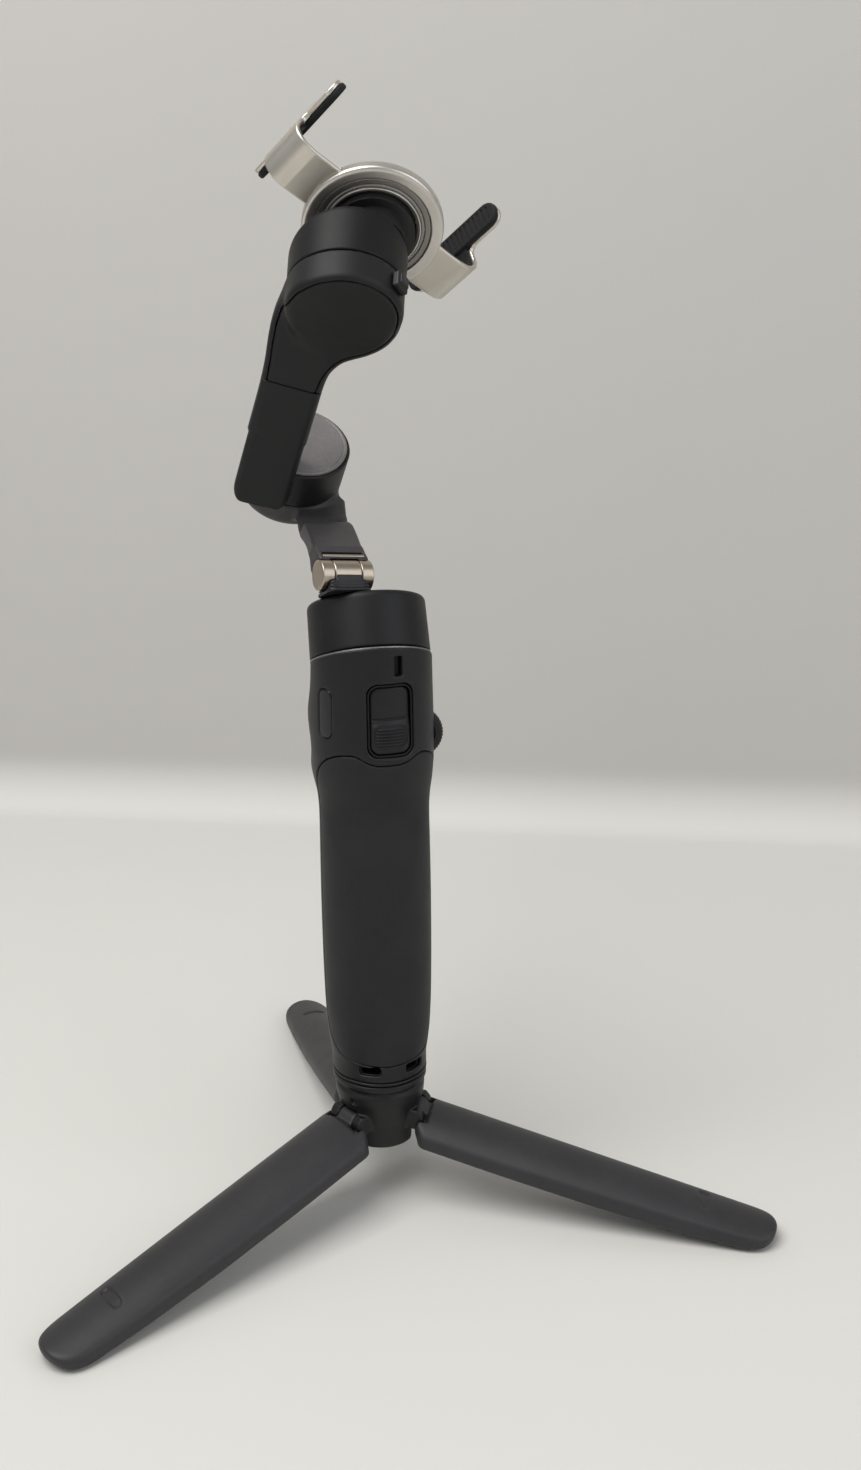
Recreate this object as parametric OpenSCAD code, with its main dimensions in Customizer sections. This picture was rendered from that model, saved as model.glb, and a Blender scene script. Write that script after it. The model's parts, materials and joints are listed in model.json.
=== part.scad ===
// Folding three-motor handheld stabiliser for a phone, with a telescopic rod, standing on its
// three-leg mini stand. Millimetres. The origin is on the floor under the grip's axis;
// +Z is up, -Y is the trigger side, +Y the control panel side, +X the dial side.

/* [Grip] */
// Bottom radius of the grip
grip_r_low = 16.1;  // [15:0.1:17]
// Largest radius of the grip, just under its head
grip_r_top = 19.8;  // [18.5:0.1:21]
// Wall of the grip shell
grip_wall = 2.2;  // [1.8:0.1:3]
// Thickness of the rubber grip cover
cover_t = 0.9;  // [0.6:0.1:1.4]
// Height of the grip's underside above the floor
grip_z = 43.9;  // [40:0.1:48]

/* [Rod] */
// Outer radius of the fixed guide tube
rod_r = 7.1;  // [6.8:0.1:7.2]
// Wall of each rod section
rod_wall = 0.8;  // [0.6:0.1:1]

/* [Pan motor] */
// Lean of the pan axis away from vertical
pan_lean = 21;  // [10:0.5:30]
// Radius of the pan motor cover
pan_r = 19.7;  // [18:0.1:21]
// Height of the pan motor cover
pan_h = 18.3;  // [16:0.1:20]

/* [Arms] */
// Radius of the hinge knuckles
knuckle_r = 5;  // [4.5:0.1:5.5]
// Width of the pan arm
arm_w = 17.4;  // [15:0.1:19]
// Radius of the middle motor
mid_r = 17.9;  // [17:0.1:19]
// Width of the roll arm's bar
bar_w = 20.2;  // [17:0.1:22]
// Thickness of the roll arm's bar
bar_t = 9.5;  // [8:0.1:11]
// Radius of the last motor's housing
last_r = 18.5;  // [18:0.1:20]

/* [Clamp] */
// Radius of the magnetic clamp's ring
ring_r = 22.8;  // [21:0.1:24]
// Thickness of the clamp's ring
ring_t = 4.6;  // [4:0.1:6]
// Half of the narrowest phone the jaws hold
jaw_half = 33.5;  // [32:0.5:35]
// Width of a jaw's band
band_w = 16.4;  // [14:0.2:20]

/* [Stand] */
// Radius of the closed stand's outside
stand_r = 16;  // [15:0.1:17]
// Length of a leg from its pin
leg_len = 116.8;  // [105:0.5:120]
// Slope of an open leg below the horizontal
leg_slope = 12.6;  // [8:0.1:16]

/* [Hidden] */
$fn = 96;

// Colours shared by several pieces
copper = [0.7, 0.4, 0.2];
bearing_grey = [0.7, 0.7, 0.72];
magnet_grey = [0.5, 0.5, 0.52];
rod_silver = [0.75, 0.74, 0.72];
knuckle_tan = [0.74, 0.7, 0.62];
jaw_silver = [0.78, 0.76, 0.72];
pad_black = [0.06, 0.06, 0.06];
leg_black = [0.13, 0.13, 0.14];

// ---- frames ----
function unit(vector) = vector / norm(vector);
// unit vector nearest to vector and square to axis
function square_to(axis, vector) = unit(vector - axis * (vector * axis));

// pan frame: z along the pan axis
pan_at = [0, 1.5, 181.8];
pan_z = [0, sin(pan_lean), cos(pan_lean)];
pan_x = [1, 0, 0];
pan_y = cross(pan_z, pan_x);

// fold hinge frame: x along the barrel, z along the pan axis
hinge_at = [-8.8, -1.1, 209.2];
hinge_x = square_to(pan_z, unit([0.969, 0.246358 * cos(pan_lean), -0.089]));
hinge_y = cross(pan_z, hinge_x);

// pan arm frame: x along the barrel, y along the arm, z along the middle motor's axis
fold_angle = 36.1;
arm_length = 61.8;
arm_y = unit(hinge_y * cos(fold_angle) + pan_z * sin(90 - 90 + fold_angle) * 0
  + hinge_y * (sin(fold_angle) - cos(fold_angle)) + pan_z * cos(fold_angle));
arm_z = cross(hinge_x, arm_y);
arm_end = hinge_at + arm_y * arm_length;

// roll arm frame: x to the bar's outer side, y out through the bar's face
roll_y_guide = [-0.227, -0.849, -0.477];
mid_y = square_to(arm_z, roll_y_guide);
mid_x = cross(mid_y, arm_z);

// middle motor frame: z along the axis the roll arm turns on
drum_z = unit([0.135, -0.655, 0.743]);
drum_at = arm_end + [0.94, -0.16, 0.02] + drum_z * 1.1;
drum_y = square_to(drum_z, mid_y);
drum_x = cross(drum_y, drum_z);

// last motor's housing frame
last_at = [-6.6, -5.2, 299.4];
last_z = unit([0.18, 0.56, 0.805]);
last_x = square_to(last_z, [1, 0, 0]);
last_y = cross(last_z, last_x);

// clamp frame: z out through the clamp's front, x along the jaws
clamp_at = [4.2, 5.1, 318.3];
clamp_turn = 41.1;
clamp_z = unit([0.16, 0.75, 0.64]);
clamp_level = square_to(clamp_z, [0.988, -0.156, 0]);
clamp_x = unit(clamp_level * cos(clamp_turn) + cross(clamp_z, clamp_level) * sin(clamp_turn));
clamp_y = cross(clamp_z, clamp_x);

// stand
leg_azimuths = [211, -24.8, 94.3];
leg_pin_x = 13;  // distance of a leg's pin from the stand's axis
leg_pin_z = 28.2;

module place(at, x, y, z)
  multmatrix([
    [x[0], y[0], z[0], at[0]],
    [x[1], y[1], z[1], at[1]],
    [x[2], y[2], z[2], at[2]],
    [0, 0, 0, 1]
  ]) children();
module in_pan() place(pan_at, pan_x, pan_y, pan_z) children();
module in_hinge() place(hinge_at, hinge_x, hinge_y, pan_z) children();
module in_arm() place(hinge_at, hinge_x, arm_y, arm_z) children();
module in_roll() place(arm_end, mid_x, mid_y, arm_z) children();
module in_drum() place(drum_at, drum_x, drum_y, drum_z) children();
module in_last() place(last_at, last_x, last_y, last_z) children();
module in_clamp() place(clamp_at, clamp_x, clamp_y, clamp_z) children();
module in_pin(i) rotate([0, 0, leg_azimuths[i]]) translate([leg_pin_x, 0, leg_pin_z]) children();
module in_leg(i) in_pin(i) rotate([0, leg_slope, 0]) children();

// ---- shared shapes ----
module disc(radius, bottom, top)
  translate([0, 0, bottom]) cylinder(r = radius, h = top - bottom);
module tube(outer, inner, bottom, top) difference() {
  disc(outer, bottom, top);
  disc(inner, bottom - 1, top + 1);
}
module x_rod(radius, start, end)
  translate([start, 0, 0]) rotate([0, 90, 0]) cylinder(r = radius, h = end - start);
module y_rod(radius, start, end)
  translate([0, start, 0]) rotate([-90, 0, 0]) cylinder(r = radius, h = end - start);
module rounded_rect(width, height, radius) union() {
  square([width, height - 2 * radius], center = true);
  square([width - 2 * radius, height], center = true);
  for (i = [-1, 1], j = [-1, 1])
    translate([i * (width / 2 - radius), j * (height / 2 - radius)]) circle(radius);
}
// disc with a chamfered upper rim
module chamfered_disc(radius, height, chamfer) union() {
  cylinder(r = radius, h = height - chamfer);
  translate([0, 0, height - chamfer]) cylinder(r1 = radius, r2 = radius - chamfer, h = chamfer);
}
// evenly spaced copies about z
module spin(count, start = 0)
  for (i = [0:count - 1]) rotate([0, 0, start + i * 360 / count]) children();
// on the grip's side: x across, y up, z outward
module on_side(azimuth, z)
  rotate([0, 0, azimuth]) translate([0, 0, z]) rotate([90, 0, 90]) children();

// ---- motor parts ----
module coil(inner, outer, bottom, top) difference() {
  tube(outer, inner, bottom, top);
  // nine slots, each with a round root
  spin(9) translate([(inner + outer) / 2 + 1.2, 0, bottom - 1]) {
    cylinder(r = (outer - inner) * 0.16, h = top - bottom + 2);
    translate([0, -0.5, 0]) cube([outer, 1, top - bottom + 2]);
  }
}
// bearing with a groove in its upper face
module ring_bearing(inner, outer, bottom, top) {
  middle = (inner + outer) / 2;
  groove = (outer - inner) * 0.2;
  difference() {
    tube(outer, inner, bottom, top);
    tube(middle + groove, middle - groove, top - 0.6, top + 0.4);
  }
}
module magnet_ring(inner, outer, bottom, top) difference() {
  tube(outer, inner, bottom, top);
  spin(14) translate([inner - 0.2, -0.2, bottom - 1]) cube([0.7, 0.4, top - bottom + 2]);
}

// ---- grip ----
grip_top_z = 190;
head_gap = 0.95;  // from the pan frame's origin down to the grip's slanted top
// [radius, height]
grip_outline = [
  [grip_r_low, grip_z], [grip_r_low, 48.5], [16.7, 60], [17.5, 80], [18.2, 100],
  [18.8, 120], [19.3, 140], [grip_r_top, 160], [grip_r_top, grip_top_z]
];
cap_r = 14.35;
screw_r = 3.08;
sleeve_r = rod_r + 1.6;  // sleeve that holds the guide tube
trigger_x = 2.3;
trigger_z = 165.2;
trigger_w = 13.2;
trigger_h = 21.5;
trigger_back_y = -15.2;
dial_x = 15.2;
dial_z = 156.2;
axle_r = 1.5;
stick_z = 158;
stick_ring_r = 6.15;
mode_z = 143.5;
mode_r = 3.6;
shutter_z = 130.5;
shutter_r = 4.1;
window_azimuth = 210;

// half section moved in by inset; an inset section also starts 2 mm higher
module grip_2d(inset) {
  lift = inset > 0 ? 2 : 0;
  polygon(concat(
    [[0, grip_z + lift]],
    [for (p = grip_outline) [p[0] - inset, p[1] + (p[1] == grip_z ? lift : 0)]],
    [[0, grip_top_z]]
  ));
}
module grip_solid(inset) rotate_extrude() grip_2d(inset);
module below_head(level) in_pan() disc(80, level - 160, level);
module cover_zone(inset) difference() {
  rotate_extrude() intersection() {
    grip_2d(inset);
    translate([0, 50.5]) square([40, 98.5]);
  }
  // panel side stays open above the palm
  translate([-9.5, 4, 118]) cube([19, 30, 60]);
}
// trigger's outline grown by margin, reaching from back_y towards -Y
module trigger_block(margin, back_y)
  translate([trigger_x, back_y, trigger_z]) rotate([90, 0, 0])
    linear_extrude(40) rounded_rect(trigger_w + margin, trigger_h + margin, 3.2);
module at_dial() translate([dial_x, 0, dial_z]) children();
module panel_block(gap)
  translate([-8 + gap, 16.2 + gap, 121 + gap]) cube([16 - 2 * gap, 10, 46.5 - 2 * gap]);
module panel_holes() {
  translate([0, 0, stick_z]) y_rod(stick_ring_r + 0.05, 10, 30);
  translate([0, 0, mode_z]) y_rod(mode_r + 0.1, 10, 30);
  translate([0, 0, shutter_z]) y_rod(shutter_r + 0.1, 10, 30);
}
module window_block(gap, depth)
  on_side(window_azimuth, 167) translate([0, 0, 18.6 + gap]) linear_extrude(depth)
    rounded_rect(6 - 2 * gap, 15.4 - 2 * gap, 2.2 - 2 * gap);
module at_port(start) on_side(90, 57.5) translate([0, 0, start]) children();

module grip_shell() color([0.17, 0.17, 0.18]) difference() {
  union() {
    // outer skin, left out where the cover lies
    intersection() {
      difference() {
        grip_solid(0);
        cover_zone(-1);
      }
      below_head(-head_gap);
    }
    // core under the cover
    intersection() {
      grip_solid(cover_t + 0.05);
      below_head(-head_gap);
    }
    // leaning head
    intersection() {
      in_pan() disc(grip_r_top, -14, -head_gap);
      disc(60, 160, 220);
    }
  }
  // hollow, leaving the sleeve and its floor
  difference() {
    intersection() {
      grip_solid(grip_wall + cover_t);
      below_head(-4.2);
    }
    disc(sleeve_r, 96, 97.6);
    tube(sleeve_r, rod_r, 95, 200);
  }
  disc(rod_r, 90, 210);
  disc(cap_r + 0.05, grip_z - 1, grip_z + 6);
  trigger_block(1.6, -9);
  // dial pocket
  at_dial() {
    y_rod(8, -4.1, 4.1);
    y_rod(axle_r + 0.02, -5.7, 5.7);
  }
  // slot above the trigger
  translate([3, -14, 182]) rotate([90, 0, 0]) linear_extrude(6) rounded_rect(2.9, 6.2, 1.4);
  panel_block(0);
  panel_holes();
  window_block(0, 10);
  at_port(8) linear_extrude(14) rounded_rect(9.2, 3.4, 1.6);
}
module grip_cover() color([0.12, 0.12, 0.13]) difference() {
  cover_zone(0);
  grip_solid(cover_t);
  // smooth finger hollow under the trigger
  translate([0, -41.5, 136]) x_rod(23, -30, 30);
  at_port(8) linear_extrude(14) rounded_rect(10, 4.2, 1.9);
}
module control_panel() color([0.33, 0.32, 0.33]) difference() {
  intersection() {
    panel_block(0.1);
    grip_solid(-0.5);
    below_head(-2);
  }
  panel_holes();
  // small round holes between the controls
  for (z = [124.6, 136.9, 150.2]) translate([0, 0, z]) y_rod(0.6, 19.9, 23.9);
}
module status_window() color([0.05, 0.05, 0.06]) difference() {
  intersection() {
    window_block(0.05, 6);
    grip_solid(-0.25);
  }
  // four small round holes, one over another
  for (i = [0:3])
    rotate([0, 0, window_azimuth]) translate([0, 0, 162 + i * 3.3]) x_rod(0.7, 19.4, 23.4);
}
module base_cap() color([0.2, 0.2, 0.2]) difference() {
  union() {
    disc(cap_r, grip_z, 49.8);
    disc(grip_r_low - 0.05, grip_z - 0.9, grip_z - 0.02);
    disc(cap_r, grip_z - 0.5, grip_z + 1);
  }
  disc(screw_r + 0.02, 40, 51.5);
  tube(12.6, 5.6, 46.2, 52);
  // two notches in the side
  for (angle = [-112, -66]) rotate([0, 0, angle]) translate([10, -3.8, 44.6]) cube([10, 7.6, 1.5]);
}
module battery() color([0.35, 0.4, 0.45]) translate([0, 0, 51.2]) union() {
  difference() {
    cylinder(r = 12.2, h = 40);
    spin(4) translate([12.2, 0, 0]) disc(2.2, -1, 41);
  }
  disc(3, 40, 41.2);
  disc(12.35, 10, 11.5);
}
module main_board() color([0.05, 0.25, 0.15]) difference() {
  union() {
    translate([-6.6, 10.9, 102]) cube([13.2, 1.1, 64]);
    // chips
    translate([-4, 12, 110]) cube([8, 0.9, 8]);
    translate([-3, 12, 122]) cube([6, 0.8, 5]);
    translate([-5.2, 12, 134]) cube([3, 1.0, 5]);
  }
  for (z = [104, 164]) translate([0, 0, z]) y_rod(1, 8, 16);
}
module charge_port() color([0.6, 0.6, 0.62]) at_port(12.9) difference() {
  linear_extrude(3.6) rounded_rect(9.1, 3.3, 1.55);
  // socket round its tongue
  translate([0, 0, 0.8]) linear_extrude(4) difference() {
    rounded_rect(8.3, 2.5, 1.2);
    square([6.2, 0.7], center = true);
  }
}
module trigger_frame() color([0.1, 0.1, 0.11]) difference() {
  intersection() {
    trigger_block(1.5, trigger_back_y);
    grip_solid(0.35);
  }
  trigger_block(0.2, -9);
}
module trigger() color([0.15, 0.15, 0.16]) difference() {
  union() {
    intersection() {
      trigger_block(0, trigger_back_y);
      grip_solid(-0.9);
    }
    // boss on the inner face
    translate([trigger_x, trigger_back_y + 0.9, 167]) rotate([90, 0, 0])
      linear_extrude(1) rounded_rect(8, 6, 1.5);
  }
  // ribs' grooves
  for (i = [0:4]) translate([trigger_x - 5.2, -24, 157.2 + i * 1.8]) cube([10.4, 3.9, 0.8]);
}
module dial() color([0.07, 0.07, 0.08]) at_dial() difference() {
  y_rod(7.6, -3.7, 3.7);
  y_rod(axle_r + 0.06, -5, 5);
  for (i = [0:35]) rotate([0, i * 10, 0]) translate([7.6, 0, 0]) y_rod(0.3, -5, 5);
  y_rod(4.8, -4, -2.9);
}
module dial_axle() color([0.7, 0.7, 0.7]) at_dial() difference() {
  y_rod(axle_r, -5.6, 5.6);
  y_rod(0.6, 4.6, 6);
}
module stick_ring() color([0.1, 0.1, 0.1]) translate([0, 0, stick_z]) difference() {
  y_rod(stick_ring_r, 16.35, 18.9);
  y_rod(4.8, 16, 20);
}
module stick() color([0.12, 0.12, 0.12]) translate([0, 0, stick_z]) union() {
  y_rod(1.7, 14.6, 19.6);
  translate([0, 17.2, 0]) x_rod(1.2, -2.6, 2.6);
  // dished cap
  difference() {
    translate([0, 19.4, 0]) rotate([-90, 0, 0]) cylinder(r1 = 3.2, r2 = 3.9, h = 2.4);
    translate([0, 27.3, 0]) sphere(r = 6.5);
  }
}
module mode_button() color([0.25, 0.25, 0.25]) translate([0, 0, mode_z]) union() {
  y_rod(mode_r, 16.6, 20.4);
  y_rod(1.2, 15.2, 16.7);
}
module shutter_button() color([0.5, 0.1, 0.08]) translate([0, 0, shutter_z]) difference() {
  union() {
    y_rod(shutter_r, 16.6, 19.9);
    y_rod(1.4, 15.2, 16.7);
  }
  translate([0, 28.8, 0]) sphere(r = 9.2);
}

// ---- telescopic rod ----
rod_bottom = 98.2;
rod_top = 172.4;
// outer radius of section i, counted inward; neighbours have 0.1 mm play
function section_r(i) = rod_r - 0.75 - i * (rod_wall + 0.1);

module guide_tube() color([0.6, 0.6, 0.6]) difference() {
  tube(rod_r - 0.02, rod_r - 0.65, 97.8, rod_top);
  spin(2) translate([5.6, -0.8, 100]) cube([2, 1.6, 52]);
}
module rod_section(i) color(rod_silver) difference() {
  tube(section_r(i), section_r(i) - rod_wall, rod_bottom, rod_top);
  spin(3) translate([0, 0, rod_bottom + 4]) x_rod(0.9, section_r(i) - 2, section_r(i) + 2);
}
module rod_a() rod_section(0);
module rod_b() rod_section(1);
module rod_c() rod_section(2);

// ---- pan motor ----
pan_shaft_r = 3.95;
pan_bore = 17.4;  // inner radius of the cover
pan_bearing_r = 6.95;
pan_magnet_in = 15.4;

module pan_base() color([0.8, 0.79, 0.76]) difference() {
  union() {
    in_pan() {
      disc(pan_r + 0.05, -0.9, -0.3);
      disc(pan_r - 1.2, -0.5, -0.1);
      disc(pan_shaft_r, -0.2, 16.2);
      disc(9, -0.4, 0.6);
    }
    // plug inside the innermost rod section
    intersection() {
      disc(section_r(2) - rod_wall - 0.03, 158, 186);
      below_head(-0.2);
    }
    // neck on top of the rod
    intersection() {
      disc(section_r(2), rod_top + 0.02, 186);
      below_head(-0.2);
    }
  }
  in_pan() disc(2, -30, 20);
}
module pan_stator() color(copper) in_pan() coil(pan_shaft_r + 0.05, 14.6, 1.4, 9.6);
module pan_bearing() color(bearing_grey) in_pan()
  ring_bearing(pan_shaft_r + 0.02, pan_bearing_r, 10.4, 15.6);
module pan_cover() color([0.16, 0.16, 0.17]) in_pan() difference() {
  chamfered_disc(pan_r, pan_h, 1.1);
  disc(pan_bore, -1, pan_h - 1.4);
  // cable window
  translate([9, -9, 0]) disc(2.2, 10, 30);
}
module pan_magnets() color(magnet_grey) in_pan() union() {
  outer = pan_bore - 0.02;
  hub = pan_bearing_r + 0.02;
  magnet_ring(pan_magnet_in, outer, 1.2, 10.4);
  tube(outer, pan_magnet_in, 10.4, 16.85);
  tube(pan_magnet_in, hub, 16.3, 16.85);
  tube(8.6, hub, 10.6, 16.4);
}

// ---- fold hinge and pan arm ----
pan_top = pan_h - (hinge_at - pan_at) * pan_z;  // pan cover's top in the hinge frame
hinge_floor = pan_top + 0.02;
knuckle_inner_x = 4.6;  // half length of the middle knuckle
knuckle_outer_x = 8.8;  // outer ends of the outer knuckles
fold_pin_r = 1.81;

module fold_base() color([0.14, 0.14, 0.15]) in_hinge() difference() {
  union() {
    translate([-6.9, -5.8, hinge_floor]) cube([13.8, 11.6, 1.1]);
    translate([-4.6, -5.6, hinge_floor]) cube([9.2, 11.2, -pan_top - 1.4]);
    for (side = [-1, 1]) translate([side * 5.6 - 1, -5.4, hinge_floor]) cube([2, 4, 1.9]);
  }
  x_rod(knuckle_r + 0.02, -20, 20);
  for (y = [-4.2, -2.1, 2.1, 4.2]) translate([-8.2, y - 0.35, pan_top + 0.7]) cube([2.2, 0.7, 3]);
}
module fold_knuckle_mid() color(knuckle_tan) in_hinge() difference() {
  x_rod(knuckle_r, -knuckle_inner_x, knuckle_inner_x);
  x_rod(1.9, -6, 6);
  // groove round each end
  for (side = [-1, 1])
    translate([side * 4, 0, 0]) rotate([0, 90, 0]) tube(knuckle_r + 1, knuckle_r - 0.2, -0.15, 0.15);
}
module fold_knuckle_outer() color(knuckle_tan) in_hinge() difference() {
  union() {
    x_rod(knuckle_r, -knuckle_outer_x, -knuckle_inner_x - 0.15);
    x_rod(knuckle_r, knuckle_inner_x + 0.15, knuckle_outer_x);
  }
  x_rod(fold_pin_r + 0.01, -12, 12);
  for (side = [-1, 1]) translate([side * knuckle_outer_x, 0, 0]) x_rod(3.4, -0.5, 0.5);
}
module fold_pin() color([0.6, 0.6, 0.6]) in_hinge() difference() {
  x_rod(fold_pin_r, -8.6, 8.6);
  // hexagonal sockets
  for (side = [-1, 1])
    translate([side * 8.6, 0, 0]) rotate([0, 90, 0]) translate([0, 0, -1]) cylinder(r = 0.9, h = 2, $fn = 6);
}

mid_shaft_r = 3.4;
arm_drum_bore = mid_r - 2;
// side view of the arm: [y, z]
arm_profile = [
  [1, -4.2], [2.5, 4.7], [9, 4.7], [24, 0], [31, -2.8], [36, -6.4], [46, -7.6],
  [arm_length, -7.6], [arm_length, -13], [46, -13], [32, -10.6], [24, -6], [10, -1.2], [6, -3.6]
];
// the arm seen along z: [x, y]
arm_plan = [
  [-arm_w / 2, -7], [-arm_w / 2, 10], [-4.3, 27.6], [-0.5, 42], [-4, arm_length],
  [15, arm_length], [18.4, 50], [13.6, 29], [arm_w / 2, 10], [arm_w / 2, -7]
];
module pan_arm() color([0.15, 0.15, 0.16]) difference() {
  union() {
    in_arm() intersection() {
      translate([-20, 0, 0]) rotate([90, 0, 90]) linear_extrude(40) polygon(arm_profile);
      translate([0, 0, -20]) linear_extrude(40) polygon(arm_plan);
    }
    // motor drum and its shaft
    in_drum() difference() {
      union() {
        disc(mid_r, -14.4, -5.65);
        translate([0, 0, -16.6]) cylinder(r1 = mid_r - 2.4, r2 = mid_r, h = 2.2);
      }
      disc(arm_drum_bore, -12.45, -0.45);
    }
    in_drum() disc(mid_shaft_r, -14, 3);
  }
  in_arm() {
    x_rod(knuckle_r + 0.02, -20, 20);
    x_rod(knuckle_r + 0.3, -4.8, 4.8);
    // the arm is open under the hinge base
    translate([-4.85, -8, -8]) cube([9.7, 13.2, 7.4]);
    // cable slot low on the front face
    translate([-6, 7.6, 3.2]) cube([12, 0.8, 3]);
  }
  // room for the roll arm to swing past
  in_drum() tube(29.4, mid_shaft_r, -5.65, 8.35);
  // motor chamber
  in_drum() tube(arm_drum_bore, mid_shaft_r, -12.45, 3.55);
}
mid_bearing_r = 6.4;
module mid_stator() color(copper) in_drum() coil(mid_shaft_r + 0.02, 12.8, -12.4, -4.4);
module mid_bearing() color(bearing_grey) in_drum()
  ring_bearing(mid_shaft_r + 0.02, mid_bearing_r, -3.2, 1.6);

// ---- roll arm ----
bar_x = 8.2;  // middle of the bar's width
bar_y = 20.6;  // the bar's outer face
bar_inner_x = bar_x - bar_w / 2;
bar_outer_x = bar_x + bar_w / 2;
drum_joint = -5.5;  // underside of the roll arm's drum
mid_magnet_in = 13.4;
tab_azimuth = -38;
// upper end of the bar, widening to the last motor: [x, z]
bar_head = [
  [bar_outer_x, 30], [19, 44], [19.9, 56], [19.9, 66], [-15, 74], [-18.2, 69], [-16.9, 63.4],
  [-12.4, 58.6], [-7.6, 54.9], [-4.4, 52], [-2.2, 47.6], [bar_inner_x, 41], [bar_inner_x, 30]
];
module at_tab() in_last() rotate([0, 0, tab_azimuth]) translate([last_r, 0, 0]) children();

module roll_arm() color([0.14, 0.14, 0.15]) difference() {
  union() {
    in_drum() disc(mid_r, drum_joint, 8.9);
    in_roll() translate([bar_x, bar_y - bar_t / 2, -12])
      linear_extrude(72) rounded_rect(bar_w, bar_t, 2.4);
    in_roll() translate([0, bar_y, 0]) rotate([90, 0, 0]) linear_extrude(bar_t) polygon(bar_head);
    // cup of the last motor
    in_last() difference() {
      translate([0, 0, -11.6]) cylinder(r1 = last_r - 1.2, r2 = last_r, h = 1.2);
      disc(last_r - 3.4, -12, -11.1);
    }
    in_last() disc(last_r, -10.4, -0.05);
  }
  // rotor chamber
  in_drum() {
    disc(mid_r - 2.1, -8, 5.4);
    disc(mid_r - 1.1, 7.9, 9.6);
    disc(2, 2, 9);
  }
  // nothing reaches down past the joint with the pan arm's drum
  in_drum() disc(40, drum_joint - 20, drum_joint);
  // cut corner at the bar's foot
  in_roll() translate([bar_outer_x + 0.6, bar_y, -10.2]) rotate([0, 45, 0]) cube([8, 30, 8], center = true);
  // seat of the latch tab
  at_tab() translate([0.005, -3.05, -7.7]) cube([6, 6.1, 5.8]);
  // last motor chamber, open at the top
  in_last() disc(last_r - 2.2, -8.4, 3.6);
  in_last() disc(40, -0.05, 59.95);
}
module mid_cap() color([0.42, 0.41, 0.41]) in_drum() union() {
  translate([0, 0, 7.95]) chamfered_disc(mid_r - 1.15, 1.5, 0.4);
  disc(1.9, 5.5, 8.1);
}
module mid_magnets() color(magnet_grey) in_drum() union() {
  outer = mid_r - 2.12;
  hub = mid_bearing_r + 0.02;
  magnet_ring(mid_magnet_in, outer, -3.6, 3);
  tube(outer, mid_magnet_in, 3, 5.35);
  tube(mid_magnet_in, hub, 4.6, 5.35);
  tube(8, hub, -2.6, 4.7);
}

// ---- last motor and clamp mount ----
seat_z = -8.5;  // slanted top of the housing, in the clamp frame
magnet_x = 11.4;  // distance of the mount's magnets from its axis
module above_seat(level) in_clamp() disc(80, level, level + 80);

module last_housing() color([0.1, 0.1, 0.11]) difference() {
  in_last() cylinder(r = last_r, h = 40);
  above_seat(seat_z);
  // hollow under the seat
  difference() {
    in_last() disc(last_r - 2.2, -1, 49);
    above_seat(seat_z - 2.2);
  }
  in_clamp() disc(8.2, -20, 0);
  // groove that marks the lower band
  in_last() tube(last_r + 1, last_r - 0.35, -1, 0.4);
}
module last_stator() color(copper) in_clamp() coil(2.5, 7.4, seat_z - 8.5, seat_z - 2.6);
module mount_rotor() color([0.13, 0.13, 0.14]) in_clamp() difference() {
  union() {
    disc(8, seat_z - 1.8, seat_z + 0.3);
    disc(10.6, seat_z + 0.15, -0.9);
    disc(13.6, -2.4, -0.2);
    disc(2.42, seat_z - 8.6, seat_z + 1);
  }
  spin(4, 45) translate([11.6, 0, 0]) disc(0.8, -2, 2);
}
module mount_magnets() color([0.6, 0.6, 0.62]) in_clamp() union() {
  spin(4) translate([magnet_x, 0, -0.18]) cylinder(r = 1.6, h = 0.9);
  tube(5.2, 2.2, -0.18, 0.3);
}
module mount_tab() color([0.06, 0.06, 0.07]) at_tab() union() {
  translate([0.02, -3, -7.6]) cube([2.2, 6, 5.6]);
  translate([1.8, -2.2, -6.8]) cube([1.2, 4.4, 4]);
}

// ---- magnetic clamp ----
recess_r = 15.2;
band_z = 1.65;  // underside of a jaw's band
band_t = 1.6;
band_shift = -0.8;  // shift of the bands across the jaws' line
bend_r = 5.4;
bar_shift = -3.4;  // shift of the jaw bars along their length
jaw_bar_z = 19.4;  // height of the jaw bars over the clamp's back
jaw_x = jaw_half + 1.5;  // inner face of a jaw bar

module clamp_body() color([0.76, 0.74, 0.7]) in_clamp() difference() {
  union() {
    translate([0, 0, 0.5]) chamfered_disc(ring_r, ring_t - 0.5, 0.6);
    cylinder(r1 = ring_r - 0.5, r2 = ring_r, h = 0.5);
  }
  disc(recess_r, -1, 1.1);
  // channel for the jaw bands
  translate([-40, band_shift - band_w / 2 - 0.1, 1.55]) cube([80, band_w + 0.2, 1.8]);
  // shallow ring on the back
  tube(19.4, 18.9, -1, 0.25);
}
module clamp_back() color([0.6, 0.6, 0.6]) in_clamp() difference() {
  disc(recess_r - 0.05, 0.05, 1.08);
  spin(4) translate([magnet_x, 0, 0]) disc(1.9, -1, 2);
  disc(5.6, -1, 3);
  tube(14.4, 13.9, -1, 0.3);
}
module clamp_pad() color([0.08, 0.08, 0.08]) in_clamp() difference() {
  disc(19.6, ring_t + 0.01, ring_t + 0.9);
  disc(9.5, ring_t - 1, ring_t + 3);
  for (side = [-1, 1]) translate([side * 14.5, 0, ring_t]) cylinder(r = 1.5, h = 4);
}
// arc of the band's bend, in nine steps
function bend(radius, start, end) = [
  for (i = [0:9]) let (angle = start + (end - start) * i / 9)
    [jaw_x - 1.4 + radius * cos(angle), band_z + bend_r + radius * sin(angle)]
];
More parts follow.
